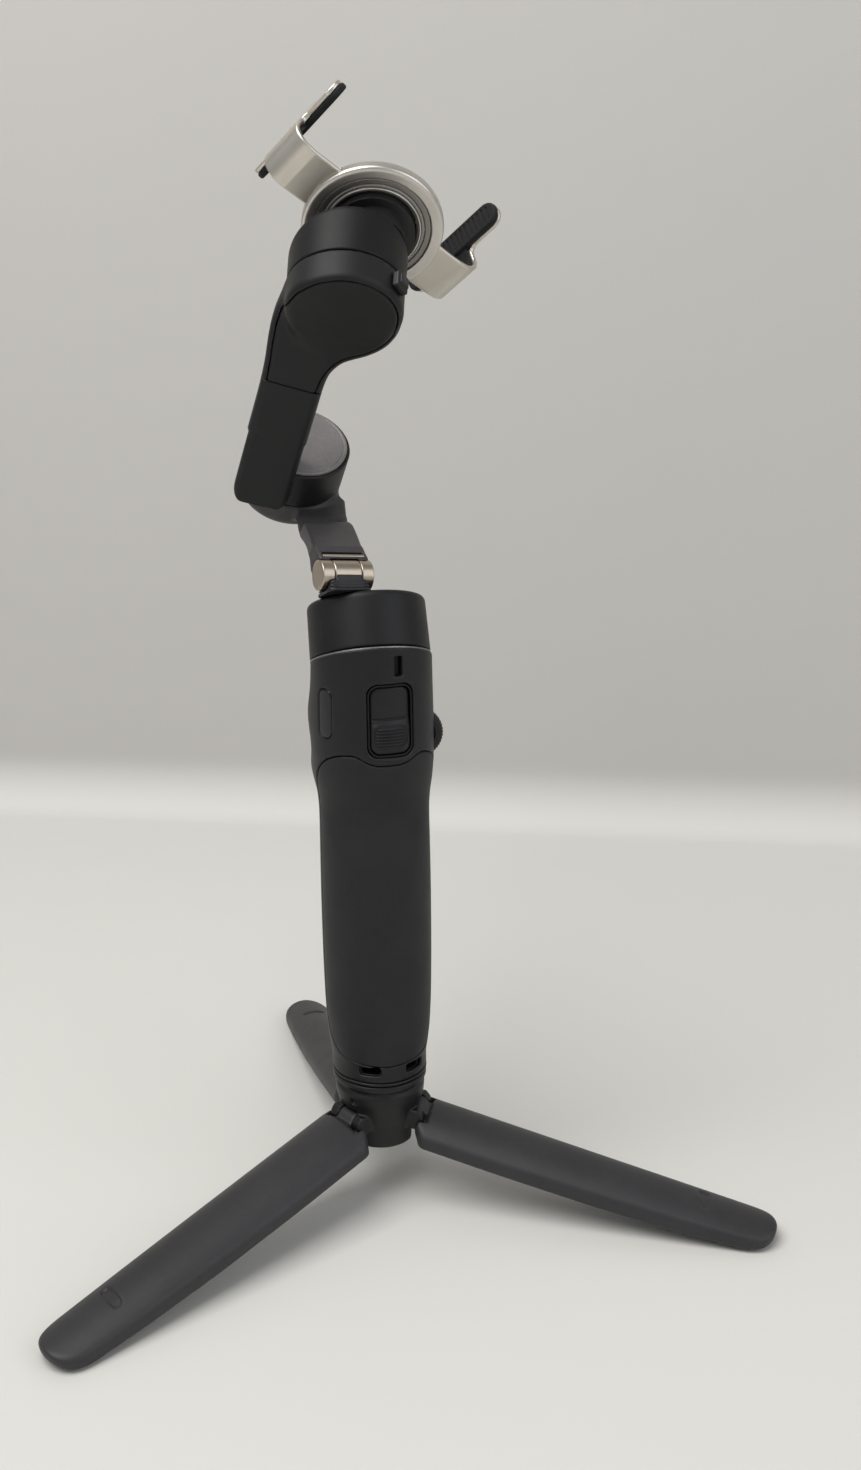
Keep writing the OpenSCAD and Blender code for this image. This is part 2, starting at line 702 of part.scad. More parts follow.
// band seen along y, out along the ring and up to the bar: [x, z]
band_profile = concat(
  [[9, band_z]],
  bend(bend_r, -90, 12),
  [
    [jaw_x + band_t + 0.6, 12.4], [jaw_x + band_t, 15.2], [jaw_x + band_t, jaw_bar_z - 2.4],
    [jaw_x, jaw_bar_z - 2.4], [jaw_x, 14.6]
  ],
  bend(bend_r - band_t, 12, -90),
  [[9, band_z + band_t]]
);
// a jaw reaches out along +x (side = 1) or -x (side = -1)
module jaw_side(side) in_clamp() rotate([0, 0, side > 0 ? 0 : 180]) children();
module jaw_bar(side, start, end, length, height)
  translate([start, bar_shift * side, jaw_bar_z]) rotate([90, 0, 90])
    linear_extrude(end - start) rounded_rect(length, height, height / 2 - 0.05);
module jaw(side) color(jaw_silver) jaw_side(side) union() {
  difference() {
    rotate([90, 0, 0]) translate([0, 0, -band_w / 2 - band_shift * side])
      linear_extrude(band_w) polygon(band_profile);
    translate([16, 0, 0]) cylinder(r = 1.6, h = 6);
  }
  jaw_bar(side, jaw_x, jaw_x + band_t, 41, 8.8);
}
module jaw_pad(side) color(pad_black) jaw_side(side) difference() {
  jaw_bar(side, jaw_x - 1.5, jaw_x - 0.02, 40, 8);
  // grooves in the gripping face
  for (i = [-8:8])
    translate([jaw_x - 2, bar_shift * side + i * 2.1 - 0.3, jaw_bar_z - 3.2]) cube([0.9, 0.6, 6.4]);
}
module jaw_a() jaw(1);
module jaw_a_pad() jaw_pad(1);
module jaw_b() jaw(-1);
module jaw_b_pad() jaw_pad(-1);

// ---- stand ----
leg_pin_r = 1.5;
lug_half = 6.9;  // half width of the hub's lugs
leg_inner_r = 12.5;
foot_x = leg_len - 12;  // foot's distance from the pin, along the leg

module stand_hub() color([0.12, 0.12, 0.13]) difference() {
  union() {
    disc(15.6, 40.4, 42.6);
    disc(14.2, 38.6, 40.6);
    disc(14.9, 33, 38.8);
    translate([0, 0, 30]) cylinder(r1 = 12, r2 = 14.9, h = 3);
    disc(12, 19.2, 30.2);
    // lugs
    for (i = [0:2]) in_pin(i) {
      translate([8 - leg_pin_x, -lug_half, -3.2]) cube([leg_pin_x - 8, 2 * lug_half, 8.8]);
      y_rod(3.2, -lug_half, lug_half);
      translate([8 - leg_pin_x, -lug_half, 0]) cube([leg_pin_x - 4.8, 2 * lug_half, 5.6]);
    }
  }
  // leg slots and pin holes
  for (i = [0:2]) {
    rotate([0, 0, leg_azimuths[i]]) translate([8.4, -3.6, 15]) cube([20, 7.2, 17.4]);
    in_pin(i) y_rod(leg_pin_r, -8, 8);
  }
  disc(9, 15, 20.4);
  disc(screw_r + 0.02, 30, 60);
  disc(6.2, 30, 36.5);
  // notch marks around the collar
  spin(24) translate([15.7, 0, 39]) cylinder(r = 0.5, h = 5);
}
module stand_screw() color([0.75, 0.75, 0.76]) union() {
  disc(screw_r, 36, 49.4);
  translate([0, 0, 49.4]) cylinder(r1 = screw_r, r2 = 2.4, h = 0.7);
  disc(6.15, 33, 36.45);
}
module leg_pins() color([0.7, 0.7, 0.7]) for (i = [0:2]) in_pin(i) difference() {
  y_rod(leg_pin_r, -6.8, 6.8);
  y_rod(0.7, 6.2, 8);
}
// leg seen along z, with a rounded end
module leg_plan() union() {
  polygon([
    [4.4, -9.2], [4.4, 9.2], [8, 12], [60, 11.1], [leg_len - 6, 8.9],
    [leg_len - 6, -8.9], [60, -11.1], [8, -12]
  ]);
  translate([leg_len - 7, -3.1]) square([7, 6.2]);
  for (side = [-1, 1]) translate([leg_len - 5.8, side * 3.1]) circle(5.8);
}
module leg(i) color(leg_black) in_leg(i) difference() {
  union() {
    // third of the closed stand's round shell
    intersection() {
      translate([0, 0, -leg_pin_x]) rotate([0, 90, 0]) difference() {
        cylinder(r = stand_r, h = 120);
        disc(leg_inner_r, -1, 129);
      }
      translate([0, 0, -5.2]) linear_extrude(12) leg_plan();
    }
    // knuckle, its web and two ribs
    y_rod(3.1, -3.45, 3.45);
    translate([0, -3.45, -2.6]) cube([9, 6.9, 4.4]);
    for (y = [-3.45, 2.25]) translate([8, y, -2.6]) cube([22, 1.2, 2.6]);
  }
  y_rod(leg_pin_r + 0.06, -8, 8);
  translate([92, 0, 2.4]) linear_extrude(3) rounded_rect(9, 2.2, 1);
  // nothing hangs lower than 1.2 mm above the floor
  rotate([0, -leg_slope, 0]) translate([-40, -40, -leg_pin_z - 18.8]) cube([240, 80, 20]);
}
module leg_a() leg(0);
module leg_b() leg(1);
module leg_c() leg(2);
module at_foot(i) rotate([0, 0, leg_azimuths[i]])
  translate([leg_pin_x + foot_x * cos(leg_slope), 0, 0]) children();
module foot(i) color(pad_black) difference() {
  intersection() {
    at_foot(i) union() {
      cylinder(r1 = 4.6, r2 = 5.2, h = 0.8);
      disc(5.2, 0.8, 8.8);
    }
    in_leg(i) translate([0, 0, -leg_pin_x]) x_rod(leg_inner_r - 0.02, 0, 130);
  }
  at_foot(i) disc(1.6, -1, 0.6);
}
module foot_a() foot(0);
module foot_b() foot(1);
module foot_c() foot(2);

// DRAW
grip_shell();
grip_cover();
control_panel();
status_window();
base_cap();
battery();
main_board();
charge_port();
trigger();
trigger_frame();
dial();
dial_axle();
stick();
stick_ring();
mode_button();
shutter_button();
guide_tube();
rod_a();
rod_b();
rod_c();
pan_base();
pan_stator();
pan_bearing();
pan_cover();
pan_magnets();
fold_base();
fold_knuckle_mid();
fold_knuckle_outer();
fold_pin();
pan_arm();
mid_stator();
mid_bearing();
roll_arm();
mid_cap();
mid_magnets();
last_housing();
last_stator();
mount_rotor();
mount_magnets();
mount_tab();
clamp_body();
clamp_back();
clamp_pad();
jaw_a();
jaw_a_pad();
jaw_b();
jaw_b_pad();
stand_hub();
stand_screw();
leg_pins();
leg_a();
leg_b();
leg_c();
foot_a();
foot_b();
foot_c();
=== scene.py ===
import bpy
import json
import math
import numpy as np
from mathutils import Matrix, Vector


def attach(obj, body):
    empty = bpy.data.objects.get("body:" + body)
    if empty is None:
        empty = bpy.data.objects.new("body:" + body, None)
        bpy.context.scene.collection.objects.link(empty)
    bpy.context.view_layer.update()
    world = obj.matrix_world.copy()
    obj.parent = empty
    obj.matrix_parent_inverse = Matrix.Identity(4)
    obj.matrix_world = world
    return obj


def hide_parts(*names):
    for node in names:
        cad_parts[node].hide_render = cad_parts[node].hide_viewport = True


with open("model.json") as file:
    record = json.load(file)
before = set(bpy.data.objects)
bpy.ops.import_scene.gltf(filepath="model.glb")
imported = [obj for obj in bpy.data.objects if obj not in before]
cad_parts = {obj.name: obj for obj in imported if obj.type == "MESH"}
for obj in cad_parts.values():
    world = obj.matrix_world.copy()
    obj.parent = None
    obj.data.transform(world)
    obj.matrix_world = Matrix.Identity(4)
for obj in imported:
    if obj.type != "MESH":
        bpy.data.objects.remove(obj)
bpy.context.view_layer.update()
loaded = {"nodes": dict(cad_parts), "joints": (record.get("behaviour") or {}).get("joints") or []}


# ---------------------------------------------------------------- frames
def unit(vector):
    vector = np.array(vector, float)
    return vector / np.linalg.norm(vector)


def square_to(vector, axis):
    """unit vector along the part of a vector at right angles to an axis"""
    vector = np.array(vector, float)
    return unit(vector - axis * (vector @ axis))


def make_frame(origin, x, y, z):
    """an origin and a matrix whose columns are the axes"""
    return np.array(origin, float), np.array([x, y, z], float).T


def to_world(points, frame):
    return points @ frame[1].T + frame[0]


def to_local(points, frame):
    return (points - frame[0]) @ frame[1]


def axial(points, source, target):
    """radius from the target frame's Z axis and height along it"""
    local = to_local(to_world(points, source), target)
    return np.hypot(local[:, 0], local[:, 1]), local[:, 2]


WORLD = (np.zeros(3), np.eye(3))
WORLD_X = [1, 0, 0]

# pan motor, on the raked top of the grip
PAN_RAKE = math.radians(21)
PAN_AXIS = np.array([0, math.sin(PAN_RAKE), math.cos(PAN_RAKE)])
PAN_ORIGIN = np.array([0, 1.5, 181.8])
PAN_HEIGHT = 18.3
PAN = make_frame(PAN_ORIGIN, WORLD_X, np.cross(PAN_AXIS, WORLD_X), PAN_AXIS)

# folding hinge, and the arm turned about it
FOLD_AXIS = np.array(next(j for j in loaded["joints"] if j["name"] == "fold")["axis"], float)
HINGE_Y = np.cross(PAN_AXIS, FOLD_AXIS)
HINGE_ORIGIN = np.array([-8.8, -1.1, 209.2])
HINGE = make_frame(HINGE_ORIGIN, FOLD_AXIS, HINGE_Y, PAN_AXIS)
FOLD_ANGLE = math.radians(36.1)
ARM_Y = unit(HINGE_Y * math.sin(FOLD_ANGLE) + PAN_AXIS * math.cos(FOLD_ANGLE))
ARM_Z = np.cross(FOLD_AXIS, ARM_Y)
ARM_LENGTH = 61.8
ARM = make_frame(HINGE_ORIGIN, FOLD_AXIS, ARM_Y, ARM_Z)

# roll arm at the pan arm's end, and the middle motor's drum beside it
MIDDLE_ORIGIN = HINGE_ORIGIN + ARM_Y * ARM_LENGTH
MIDDLE_Y = square_to([-0.227, -0.849, -0.477], ARM_Z)
MIDDLE = make_frame(MIDDLE_ORIGIN, np.cross(MIDDLE_Y, ARM_Z), MIDDLE_Y, ARM_Z)
DRUM_Z = unit([0.135, -0.655, 0.743])
DRUM_ORIGIN = MIDDLE_ORIGIN + np.array([0.94, -0.16, 0.02]) + DRUM_Z * 1.1
DRUM_Y = square_to(MIDDLE_Y, DRUM_Z)
DRUM = make_frame(DRUM_ORIGIN, np.cross(DRUM_Y, DRUM_Z), DRUM_Y, DRUM_Z)

# last motor and the phone clamp on it
LAST_Z = unit([0.18, 0.56, 0.805])
LAST_X = square_to(WORLD_X, LAST_Z)
LAST = make_frame([-6.6, -5.2, 299.4], LAST_X, np.cross(LAST_Z, LAST_X), LAST_Z)
CLAMP_Z = unit([0.16, 0.75, 0.64])
CLAMP_TURN = math.radians(41.1)
CLAMP_LEVEL = square_to([0.988, -0.156, 0], CLAMP_Z)
CLAMP_X = unit(CLAMP_LEVEL * math.cos(CLAMP_TURN)
               + np.cross(CLAMP_Z, CLAMP_LEVEL) * math.sin(CLAMP_TURN))
CLAMP = make_frame([4.2, 5.1, 318.3], CLAMP_X, np.cross(CLAMP_Z, CLAMP_X), CLAMP_Z)
SEAT_Z = -8.5  # where the last motor's drum ends, in the clamp frame

# stand legs: pin circle, pin height, droop below level, and headings in degrees from +X
PIN_CIRCLE = 13.0
PIN_Z = 28.2
LEG_SLOPE = math.radians(12.6)
LEG_LENGTH = 116.8
LEG_HEADINGS = [211.0, -24.8, 94.3]


def leg_frame(heading):
    """origin on the leg's pin, X along the leg, Y level"""
    angle = math.radians(heading)
    out = np.array([math.cos(angle), math.sin(angle), 0])
    side = np.array([-math.sin(angle), math.cos(angle), 0])
    along = out * math.cos(LEG_SLOPE) + np.array([0, 0, -math.sin(LEG_SLOPE)])
    up = out * math.sin(LEG_SLOPE) + np.array([0, 0, math.cos(LEG_SLOPE)])
    return make_frame(out * PIN_CIRCLE + np.array([0, 0, PIN_Z]), along, side, up)


# ---------------------------------------------------------------- distance functions
def meet(a, b, blend):
    """what two shapes share, with the crease rounded over the blend length"""
    near = np.maximum(blend - np.abs(a - b), 0) / blend
    return np.maximum(a, b) + near * near * blend * 0.25


def join(a, b, blend):
    return -meet(-a, -b, blend)


def cut(shape, tool, blend):
    return meet(shape, -tool, blend)


def slab(value, low, high):
    return np.abs(value - (low + high) * 0.5) - (high - low) * 0.5


def ring(radius, middle, half_width):
    return np.abs(radius - middle) - half_width


def box2(x, y, width, height, corner):
    out_x = np.abs(x) - (width / 2 - corner)
    out_y = np.abs(y) - (height / 2 - corner)
    outside = np.hypot(np.maximum(out_x, 0), np.maximum(out_y, 0))
    return outside + np.minimum(np.maximum(out_x, out_y), 0) - corner


def box3(points, centre, size, edge):
    out = np.abs(points - np.array(centre)) - (np.array(size) / 2 - edge)
    return np.linalg.norm(np.maximum(out, 0), axis=1) + np.minimum(out.max(axis=1), 0) - edge


def extrude(outline, along, low, high, edge):
    """a 2-D distance drawn out from low to high, with rounded edges"""
    side = outline + edge
    end = slab(along, low, high) + edge
    outside = np.hypot(np.maximum(side, 0), np.maximum(end, 0))
    return outside + np.minimum(np.maximum(side, end), 0) - edge


def to_segment(x, y, start, end):
    """squared distance to a segment, its vector, and the offset from its start"""
    edge_x, edge_y = end - start
    off_x, off_y = x - start[0], y - start[1]
    length = edge_x * edge_x + edge_y * edge_y + 1e-12
    part = np.clip((off_x * edge_x + off_y * edge_y) / length, 0, 1)
    squared = (off_x - edge_x * part) ** 2 + (off_y - edge_y * part) ** 2
    return squared, (edge_x, edge_y), (off_x, off_y)


def polygon(x, y, corners):
    """distance to a closed outline, negative inside"""
    corners = np.array(corners, float)
    nearest = np.full(x.shape, 1e9)
    sign = np.ones(x.shape)
    for i, start in enumerate(corners):
        end = corners[i - 1]
        squared, edge, off = to_segment(x, y, start, end)
        nearest = np.minimum(nearest, squared)
        above = y >= start[1]
        below = y < end[1]
        left = edge[0] * off[1] > edge[1] * off[0]
        sign = np.where((above == below) & (below == left), -sign, sign)
    return sign * np.sqrt(nearest)


def open_path(x, y, corners):
    """distance to an open polyline"""
    nearest = np.full(x.shape, 1e9)
    for start, end in zip(corners[:-1], corners[1:]):
        nearest = np.minimum(nearest, to_segment(x, y, start, end)[0])
    return np.sqrt(nearest)


def smooth_curve(control, count=8):
    """Catmull-Rom curve through control points, with count points a span"""
    control = np.array(control, float)
    control = np.vstack([2 * control[0] - control[1], control, 2 * control[-1] - control[-2]])
    curve = []
    for i in range(1, len(control) - 2):
        before, start, end, after = control[i - 1:i + 3]
        for t in np.linspace(0, 1, count, endpoint=False):
            curve.append(0.5 * (2 * start + (end - before) * t
                                + (2 * before - 5 * start + 4 * end - after) * t * t
                                + (3 * start - before - 3 * end + after) * t ** 3))
    curve.append(control[-2])
    return np.array(curve)


# ---------------------------------------------------------------- distance field to mesh
BATCH = 400000      # grid points evaluated at once
SETTLE_STEPS = 2    # times each vertex is moved on to the surface
PROBE = 0.02        # offset used to measure the gradient
CORNERS = [(a, b, c) for a in (0, 1) for b in (0, 1) for c in (0, 1)]


def sample(field, low, high, step):
    """field values on the grid; exact zeros are pushed just outside"""
    count = np.ceil((np.array(high, float) - low) / step).astype(int) + 1
    axes = [low[i] + step * np.arange(count[i]) for i in range(3)]
    values = np.empty(tuple(count), np.float32)
    rows = max(1, int(BATCH // (count[1] * count[2])))
    for i in range(0, count[0], rows):
        some = axes[0][i:i + rows]
        grid = np.stack(np.meshgrid(some, axes[1], axes[2], indexing="ij"), -1).reshape(-1, 3)
        values[i:i + rows] = field(grid).reshape(len(some), count[1], count[2])
    values[np.abs(values) < 1e-7] = 1e-7
    return values


def crossing_means(values, cells):
    """for each cell, the mean of the surface's crossings with its edges, in cell units"""
    total = np.zeros((len(cells), 3))
    crossings = np.zeros(len(cells))
    for corner in CORNERS:
        for axis in range(3):
            if corner[axis] == 1:
                continue
            far = list(corner)
            far[axis] = 1
            start = values[tuple((cells + corner).T)].astype(float)
            end = values[tuple((cells + far).T)].astype(float)
            crossed = (start < 0) != (end < 0)
            part = np.where(crossed, start / np.where(crossed, start - end, 1), 0)
            place = np.tile(np.array(corner, float), (len(cells), 1))
            place[:, axis] += part
            total[crossed] += place[crossed]
            crossings[crossed] += 1
    return total / crossings[:, None]


def settle(field, verts, step):
    """move the vertices down the gradient on to the zero surface"""
    for _ in range(SETTLE_STEPS):
        value = field(verts)
        slope = np.stack([(field(verts + offset) - field(verts - offset)) / (2 * PROBE)
                          for offset in np.eye(3) * PROBE], 1)
        steepness = np.maximum((slope * slope).sum(1), 0.2)
        move = -(value / steepness)[:, None] * slope
        length = np.linalg.norm(move, axis=1)
        move *= np.minimum(1, 0.45 * step / np.maximum(length, 1e-9))[:, None]
        verts = verts + move
    return verts


def cell_quads(inside, cell_ids):
    """one quad round every grid edge that the surface crosses"""
    size = inside.shape
    quads = []
    for axis in range(3):
        u, v = (axis + 1) % 3, (axis + 2) % 3
        edges = np.argwhere(np.diff(inside, axis=axis))
        kept = ((edges[:, u] > 0) & (edges[:, v] > 0)
                & (edges[:, u] < size[u] - 1) & (edges[:, v] < size[v] - 1))
        edges = edges[kept]
        around = []
        for step_u, step_v in ((-1, -1), (0, -1), (0, 0), (-1, 0)):
            cell = edges.copy()
            cell[:, u] += step_u
            cell[:, v] += step_v
            around.append(cell_ids[tuple(cell.T)])
        quad = np.stack(around, 1)
        flip = ~inside[tuple(edges.T)]
        quad[flip] = quad[flip][:, ::-1]
        quads.append(quad)
    quads = np.concatenate(quads)
    return quads[(quads >= 0).all(1)]


def surface_net(field, low, high, step):
    """quad mesh of the zero surface, with one vertex in each cell it crosses"""
    low = np.array(low, float)
    values = sample(field, low, high, step)
    inside = values < 0
    size = inside.shape
    filled = sum(inside[a:size[0] - 1 + a, b:size[1] - 1 + b, c:size[2] - 1 + c].astype(np.int8)
                 for a, b, c in CORNERS)
    active = (filled > 0) & (filled < 8)
    cells = np.argwhere(active)
    cell_ids = -np.ones(active.shape, np.int64)
    cell_ids[active] = np.arange(len(cells))
    verts = low + (cells + crossing_means(values, cells)) * step
    return settle(field, verts, step), cell_quads(inside, cell_ids)


def quad_mesh(name, verts, quads):
    mesh = bpy.data.meshes.new(name)
    mesh.vertices.add(len(verts))
    mesh.vertices.foreach_set("co", verts.astype(np.float32).ravel())
    mesh.loops.add(quads.size)
    mesh.loops.foreach_set("vertex_index", quads.astype(np.int32).ravel())
    mesh.polygons.add(len(quads))
    mesh.polygons.foreach_set("loop_start", np.arange(0, quads.size, 4, dtype=np.int32))
    mesh.polygons.foreach_set("loop_total", np.full(len(quads), 4, np.int32))
    mesh.update(calc_edges=True)
    mesh.validate()
    mesh.shade_smooth()
    return mesh


def piece(name, rides_on, field, low, high, step, material, frame=WORLD, cad=None, slot=None):
    """mesh a field between the low and high corners of its own frame and attach it to its body;
    cad is the CAD node it replaces; slot is not used"""
    verts, quads = surface_net(field, low, high, step)
    obj = bpy.data.objects.new(name, quad_mesh(name, to_world(verts, frame) / 1000.0, quads))
    bpy.context.scene.collection.objects.link(obj)
    obj.data.materials.append(MATERIALS[material])
    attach(obj, rides_on)
    if cad:
        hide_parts(cad)


def column(half, low, high):
    """corners of a square box about Z"""
    return (-half, -half, low), (half, half, high)


# ---------------------------------------------------------------- materials
def srgb(*levels):
    """linear colour from 0-255 sRGB levels"""
    parts = [level / 255.0 for level in levels]
    return (*(v / 12.92 if v <= 0.04045 else ((v + 0.055) / 1.055) ** 2.4 for v in parts), 1.0)


def scaled(colour, factor):
    return (colour[0] * factor, colour[1] * factor, colour[2] * factor, 1.0)


class Shader:
    """a material with one Principled node, textured in object space"""

    def __init__(self, name):
        self.material = bpy.data.materials.new(name)
        self.material.use_nodes = True
        self.tree = self.material.node_tree
        self.tree.nodes.clear()
        self.principled = self.node("ShaderNodeBsdfPrincipled")
        output = self.node("ShaderNodeOutputMaterial")
        self.feed(output.inputs[0], self.principled.outputs[0])
        self.place = self.node("ShaderNodeTexCoord").outputs["Object"]

    def node(self, kind, **settings):
        node = self.tree.nodes.new(kind)
        for key, value in settings.items():
            setattr(node, key, value)
        return node

    def feed(self, socket, source):
        """set a socket to a value, or link another socket to it"""
        if isinstance(source, (int, float, tuple)):
            socket.default_value = source
        else:
            self.tree.links.new(source, socket)

    def surface(self, name, source):
        self.feed(self.principled.inputs[name], source)

    def noise(self, scale, detail=4, rough=0.55, stretch=None, turn=None, warp=0.0):
        place = self.place
        if stretch is not None:
            mapping = self.node("ShaderNodeMapping")
            mapping.inputs["Scale"].default_value = stretch
            if turn is not None:
                mapping.inputs["Rotation"].default_value = turn
            self.feed(mapping.inputs[0], place)
            place = mapping.outputs[0]
        noise = self.node("ShaderNodeTexNoise")
        for name, value in (("Vector", place), ("Scale", scale), ("Detail", detail),
                            ("Roughness", rough), ("Distortion", warp)):
            self.feed(noise.inputs[name], value)
        return noise.outputs["Fac"]

    def ramp(self, source, low, high):
        """black at low to white at high"""
        ramp = self.node("ShaderNodeValToRGB")
        ramp.color_ramp.elements[0].position = low
        ramp.color_ramp.elements[1].position = high
        self.feed(ramp.inputs[0], source)
        return ramp.outputs[0]

    def mix(self, factor, first, second, blend="MIX"):
        mix = self.node("ShaderNodeMix", data_type="RGBA", blend_type=blend)
        # sockets 6 and 7 are the node's two colours
        for i, source in ((0, factor), (6, first), (7, second)):
            self.feed(mix.inputs[i], source)
        return mix.outputs[2]

    def math(self, operation, first, second):
        node = self.node("ShaderNodeMath", operation=operation)
        self.feed(node.inputs[0], first)
        self.feed(node.inputs[1], second)
        return node.outputs[0]

    def between(self, source, low, high):
        node = self.node("ShaderNodeMapRange")
        node.inputs["To Min"].default_value = low
        node.inputs["To Max"].default_value = high
        self.feed(node.inputs["Value"], source)
        return node.outputs[0]

    def edges(self):
        """white on convex edges"""
        geometry = self.node("ShaderNodeNewGeometry")
        return self.ramp(geometry.outputs["Pointiness"], low=0.52, high=0.6)

    def bump(self, source, strength, distance, normal=None):
        bump = self.node("ShaderNodeBump")
        bump.inputs["Strength"].default_value = strength
        bump.inputs["Distance"].default_value = distance
        self.feed(bump.inputs["Height"], source)
        if normal is not None:
            self.feed(bump.inputs["Normal"], normal)
        return bump.outputs[0]

    def bevel(self, radius):
        """normal rounded at sharp edges, or None without a radius (metres)"""
        if not radius:
            return None
        bevel = self.node("ShaderNodeBevel")
        bevel.samples = 4
        bevel.inputs["Radius"].default_value = radius
        return bevel.outputs[0]


def plastic(name, colour, rough=0.5, grain=0.35, grain_scale=3200, wear=0.25, specular=0.45,
            bevel=0.0, smear=0.1, coat=0.0):
    """moulded plastic with fine grain, scuffs and rubbed edges"""
    sh = Shader(name)
    broad = sh.ramp(sh.noise(scale=38, detail=3, rough=0.6), low=0.3, high=0.7)
    tone = sh.mix(broad, scaled(colour, 0.86), scaled(colour, 1.16))
    mottle = sh.ramp(sh.noise(scale=900, detail=2, rough=0.5), low=0.35, high=0.75)
    tone = sh.mix(mottle, tone, sh.mix(1.0, tone, (0.86, 0.86, 0.88, 1), "MULTIPLY"))
    streaks = sh.noise(scale=260, detail=6, rough=0.72, stretch=(1.0, 0.35, 2.2),
                       turn=(0.3, 0.5, 0.9), warp=0.8)
    scuff = sh.ramp(streaks, low=0.62, high=0.78)
    patches = sh.ramp(sh.noise(scale=420, detail=4, rough=0.7), low=0.35, high=0.65)
    edge = sh.math("MULTIPLY", sh.edges(), patches)
    light = (*(min(1, level * 2.6 + 0.02) for level in colour[:3]), 1)
    tone = sh.mix(sh.math("MULTIPLY", edge, wear), tone, light)
    tone = sh.mix(sh.math("MULTIPLY", scuff, wear * 0.35), tone, light)
    sh.surface("Base Color", tone)
    gloss = sh.between(sh.noise(scale=75, detail=5, rough=0.65, warp=0.5),
                       low=rough - smear, high=rough + smear)
    sh.surface("Roughness", sh.math("SUBTRACT", gloss, sh.math("MULTIPLY", edge, 0.08)))
    sh.surface("Specular IOR Level", specular)
    sh.surface("Coat Weight", coat)
    sh.surface("Coat Roughness", 0.12)
    fine = sh.noise(scale=grain_scale, detail=3, rough=0.6)
    normal = sh.bump(fine, strength=grain, distance=0.00006, normal=sh.bevel(bevel))
    waves = sh.noise(scale=120, detail=3, rough=0.5)
    sh.surface("Normal", sh.bump(waves, strength=0.04, distance=0.0003, normal=normal))
    return sh.material


def rubber(name, colour, rough):
    """matt rubber with a pebbled grain and a little dust"""
    sh = Shader(name)
    pebbles = sh.node("ShaderNodeTexVoronoi")
    pebbles.inputs["Scale"].default_value = 1500
    sh.feed(pebbles.inputs["Vector"], sh.place)
    broad = sh.ramp(sh.noise(scale=55, detail=4, rough=0.6), low=0.32, high=0.7)
    tone = sh.mix(broad, scaled(colour, 0.84), scaled(colour, 1.2))
    tone = sh.mix(sh.math("MULTIPLY", sh.edges(), 0.1), tone, scaled(colour, 2.4))
    dust = sh.ramp(sh.noise(scale=700, detail=5, rough=0.75), low=0.66, high=0.8)
    tone = sh.mix(sh.math("MULTIPLY", dust, 0.05), tone, (0.3, 0.29, 0.27, 1))
    sh.surface("Base Color", tone)
    sh.surface("Roughness", sh.between(sh.noise(scale=90, detail=4, rough=0.6),
                                       low=rough - 0.08, high=rough + 0.1))
    sh.surface("Specular IOR Level", 0.35)
    sh.surface("Sheen Weight", 0.06)
    sh.surface("Sheen Roughness", 0.4)
    normal = sh.bump(pebbles.outputs["Distance"], strength=0.25, distance=0.00008)
    fine = sh.noise(scale=2600, detail=2, rough=0.5)
    sh.surface("Normal", sh.bump(fine, strength=0.2, distance=0.00004, normal=normal))
    return sh.material


def metal(name, colour, rough, brush=(1, 1, 1), brush_scale=2400, bevel=0.0, tarnish=0.12):
    """brushed metal; brush stretches the line texture along X, Y, Z"""
    sh = Shader(name)
    broad = sh.ramp(sh.noise(scale=45, detail=4, rough=0.6), low=0.3, high=0.72)
    tone = sh.mix(broad, scaled(colour, 0.9), scaled(colour, 1.06))
    spots = sh.ramp(sh.noise(scale=520, detail=6, rough=0.75), low=0.6, high=0.82)
    tone = sh.mix(sh.math("MULTIPLY", spots, tarnish), tone, scaled(colour, 0.62))
    tone = sh.mix(sh.math("MULTIPLY", sh.edges(), 0.35), tone, (0.86, 0.84, 0.8, 1))
    sh.surface("Base Color", tone)
    sh.surface("Metallic", 1.0)
    lines = sh.noise(scale=brush_scale, detail=3, rough=0.6, stretch=brush)
    blend = sh.mix(0.5, lines, sh.noise(scale=110, detail=5, rough=0.65))
    sh.surface("Roughness", sh.between(blend, low=rough - 0.09, high=rough + 0.11))
    normal = sh.bump(lines, strength=0.12, distance=0.00004, normal=sh.bevel(bevel))
    sh.surface("Normal", normal)
    return sh.material


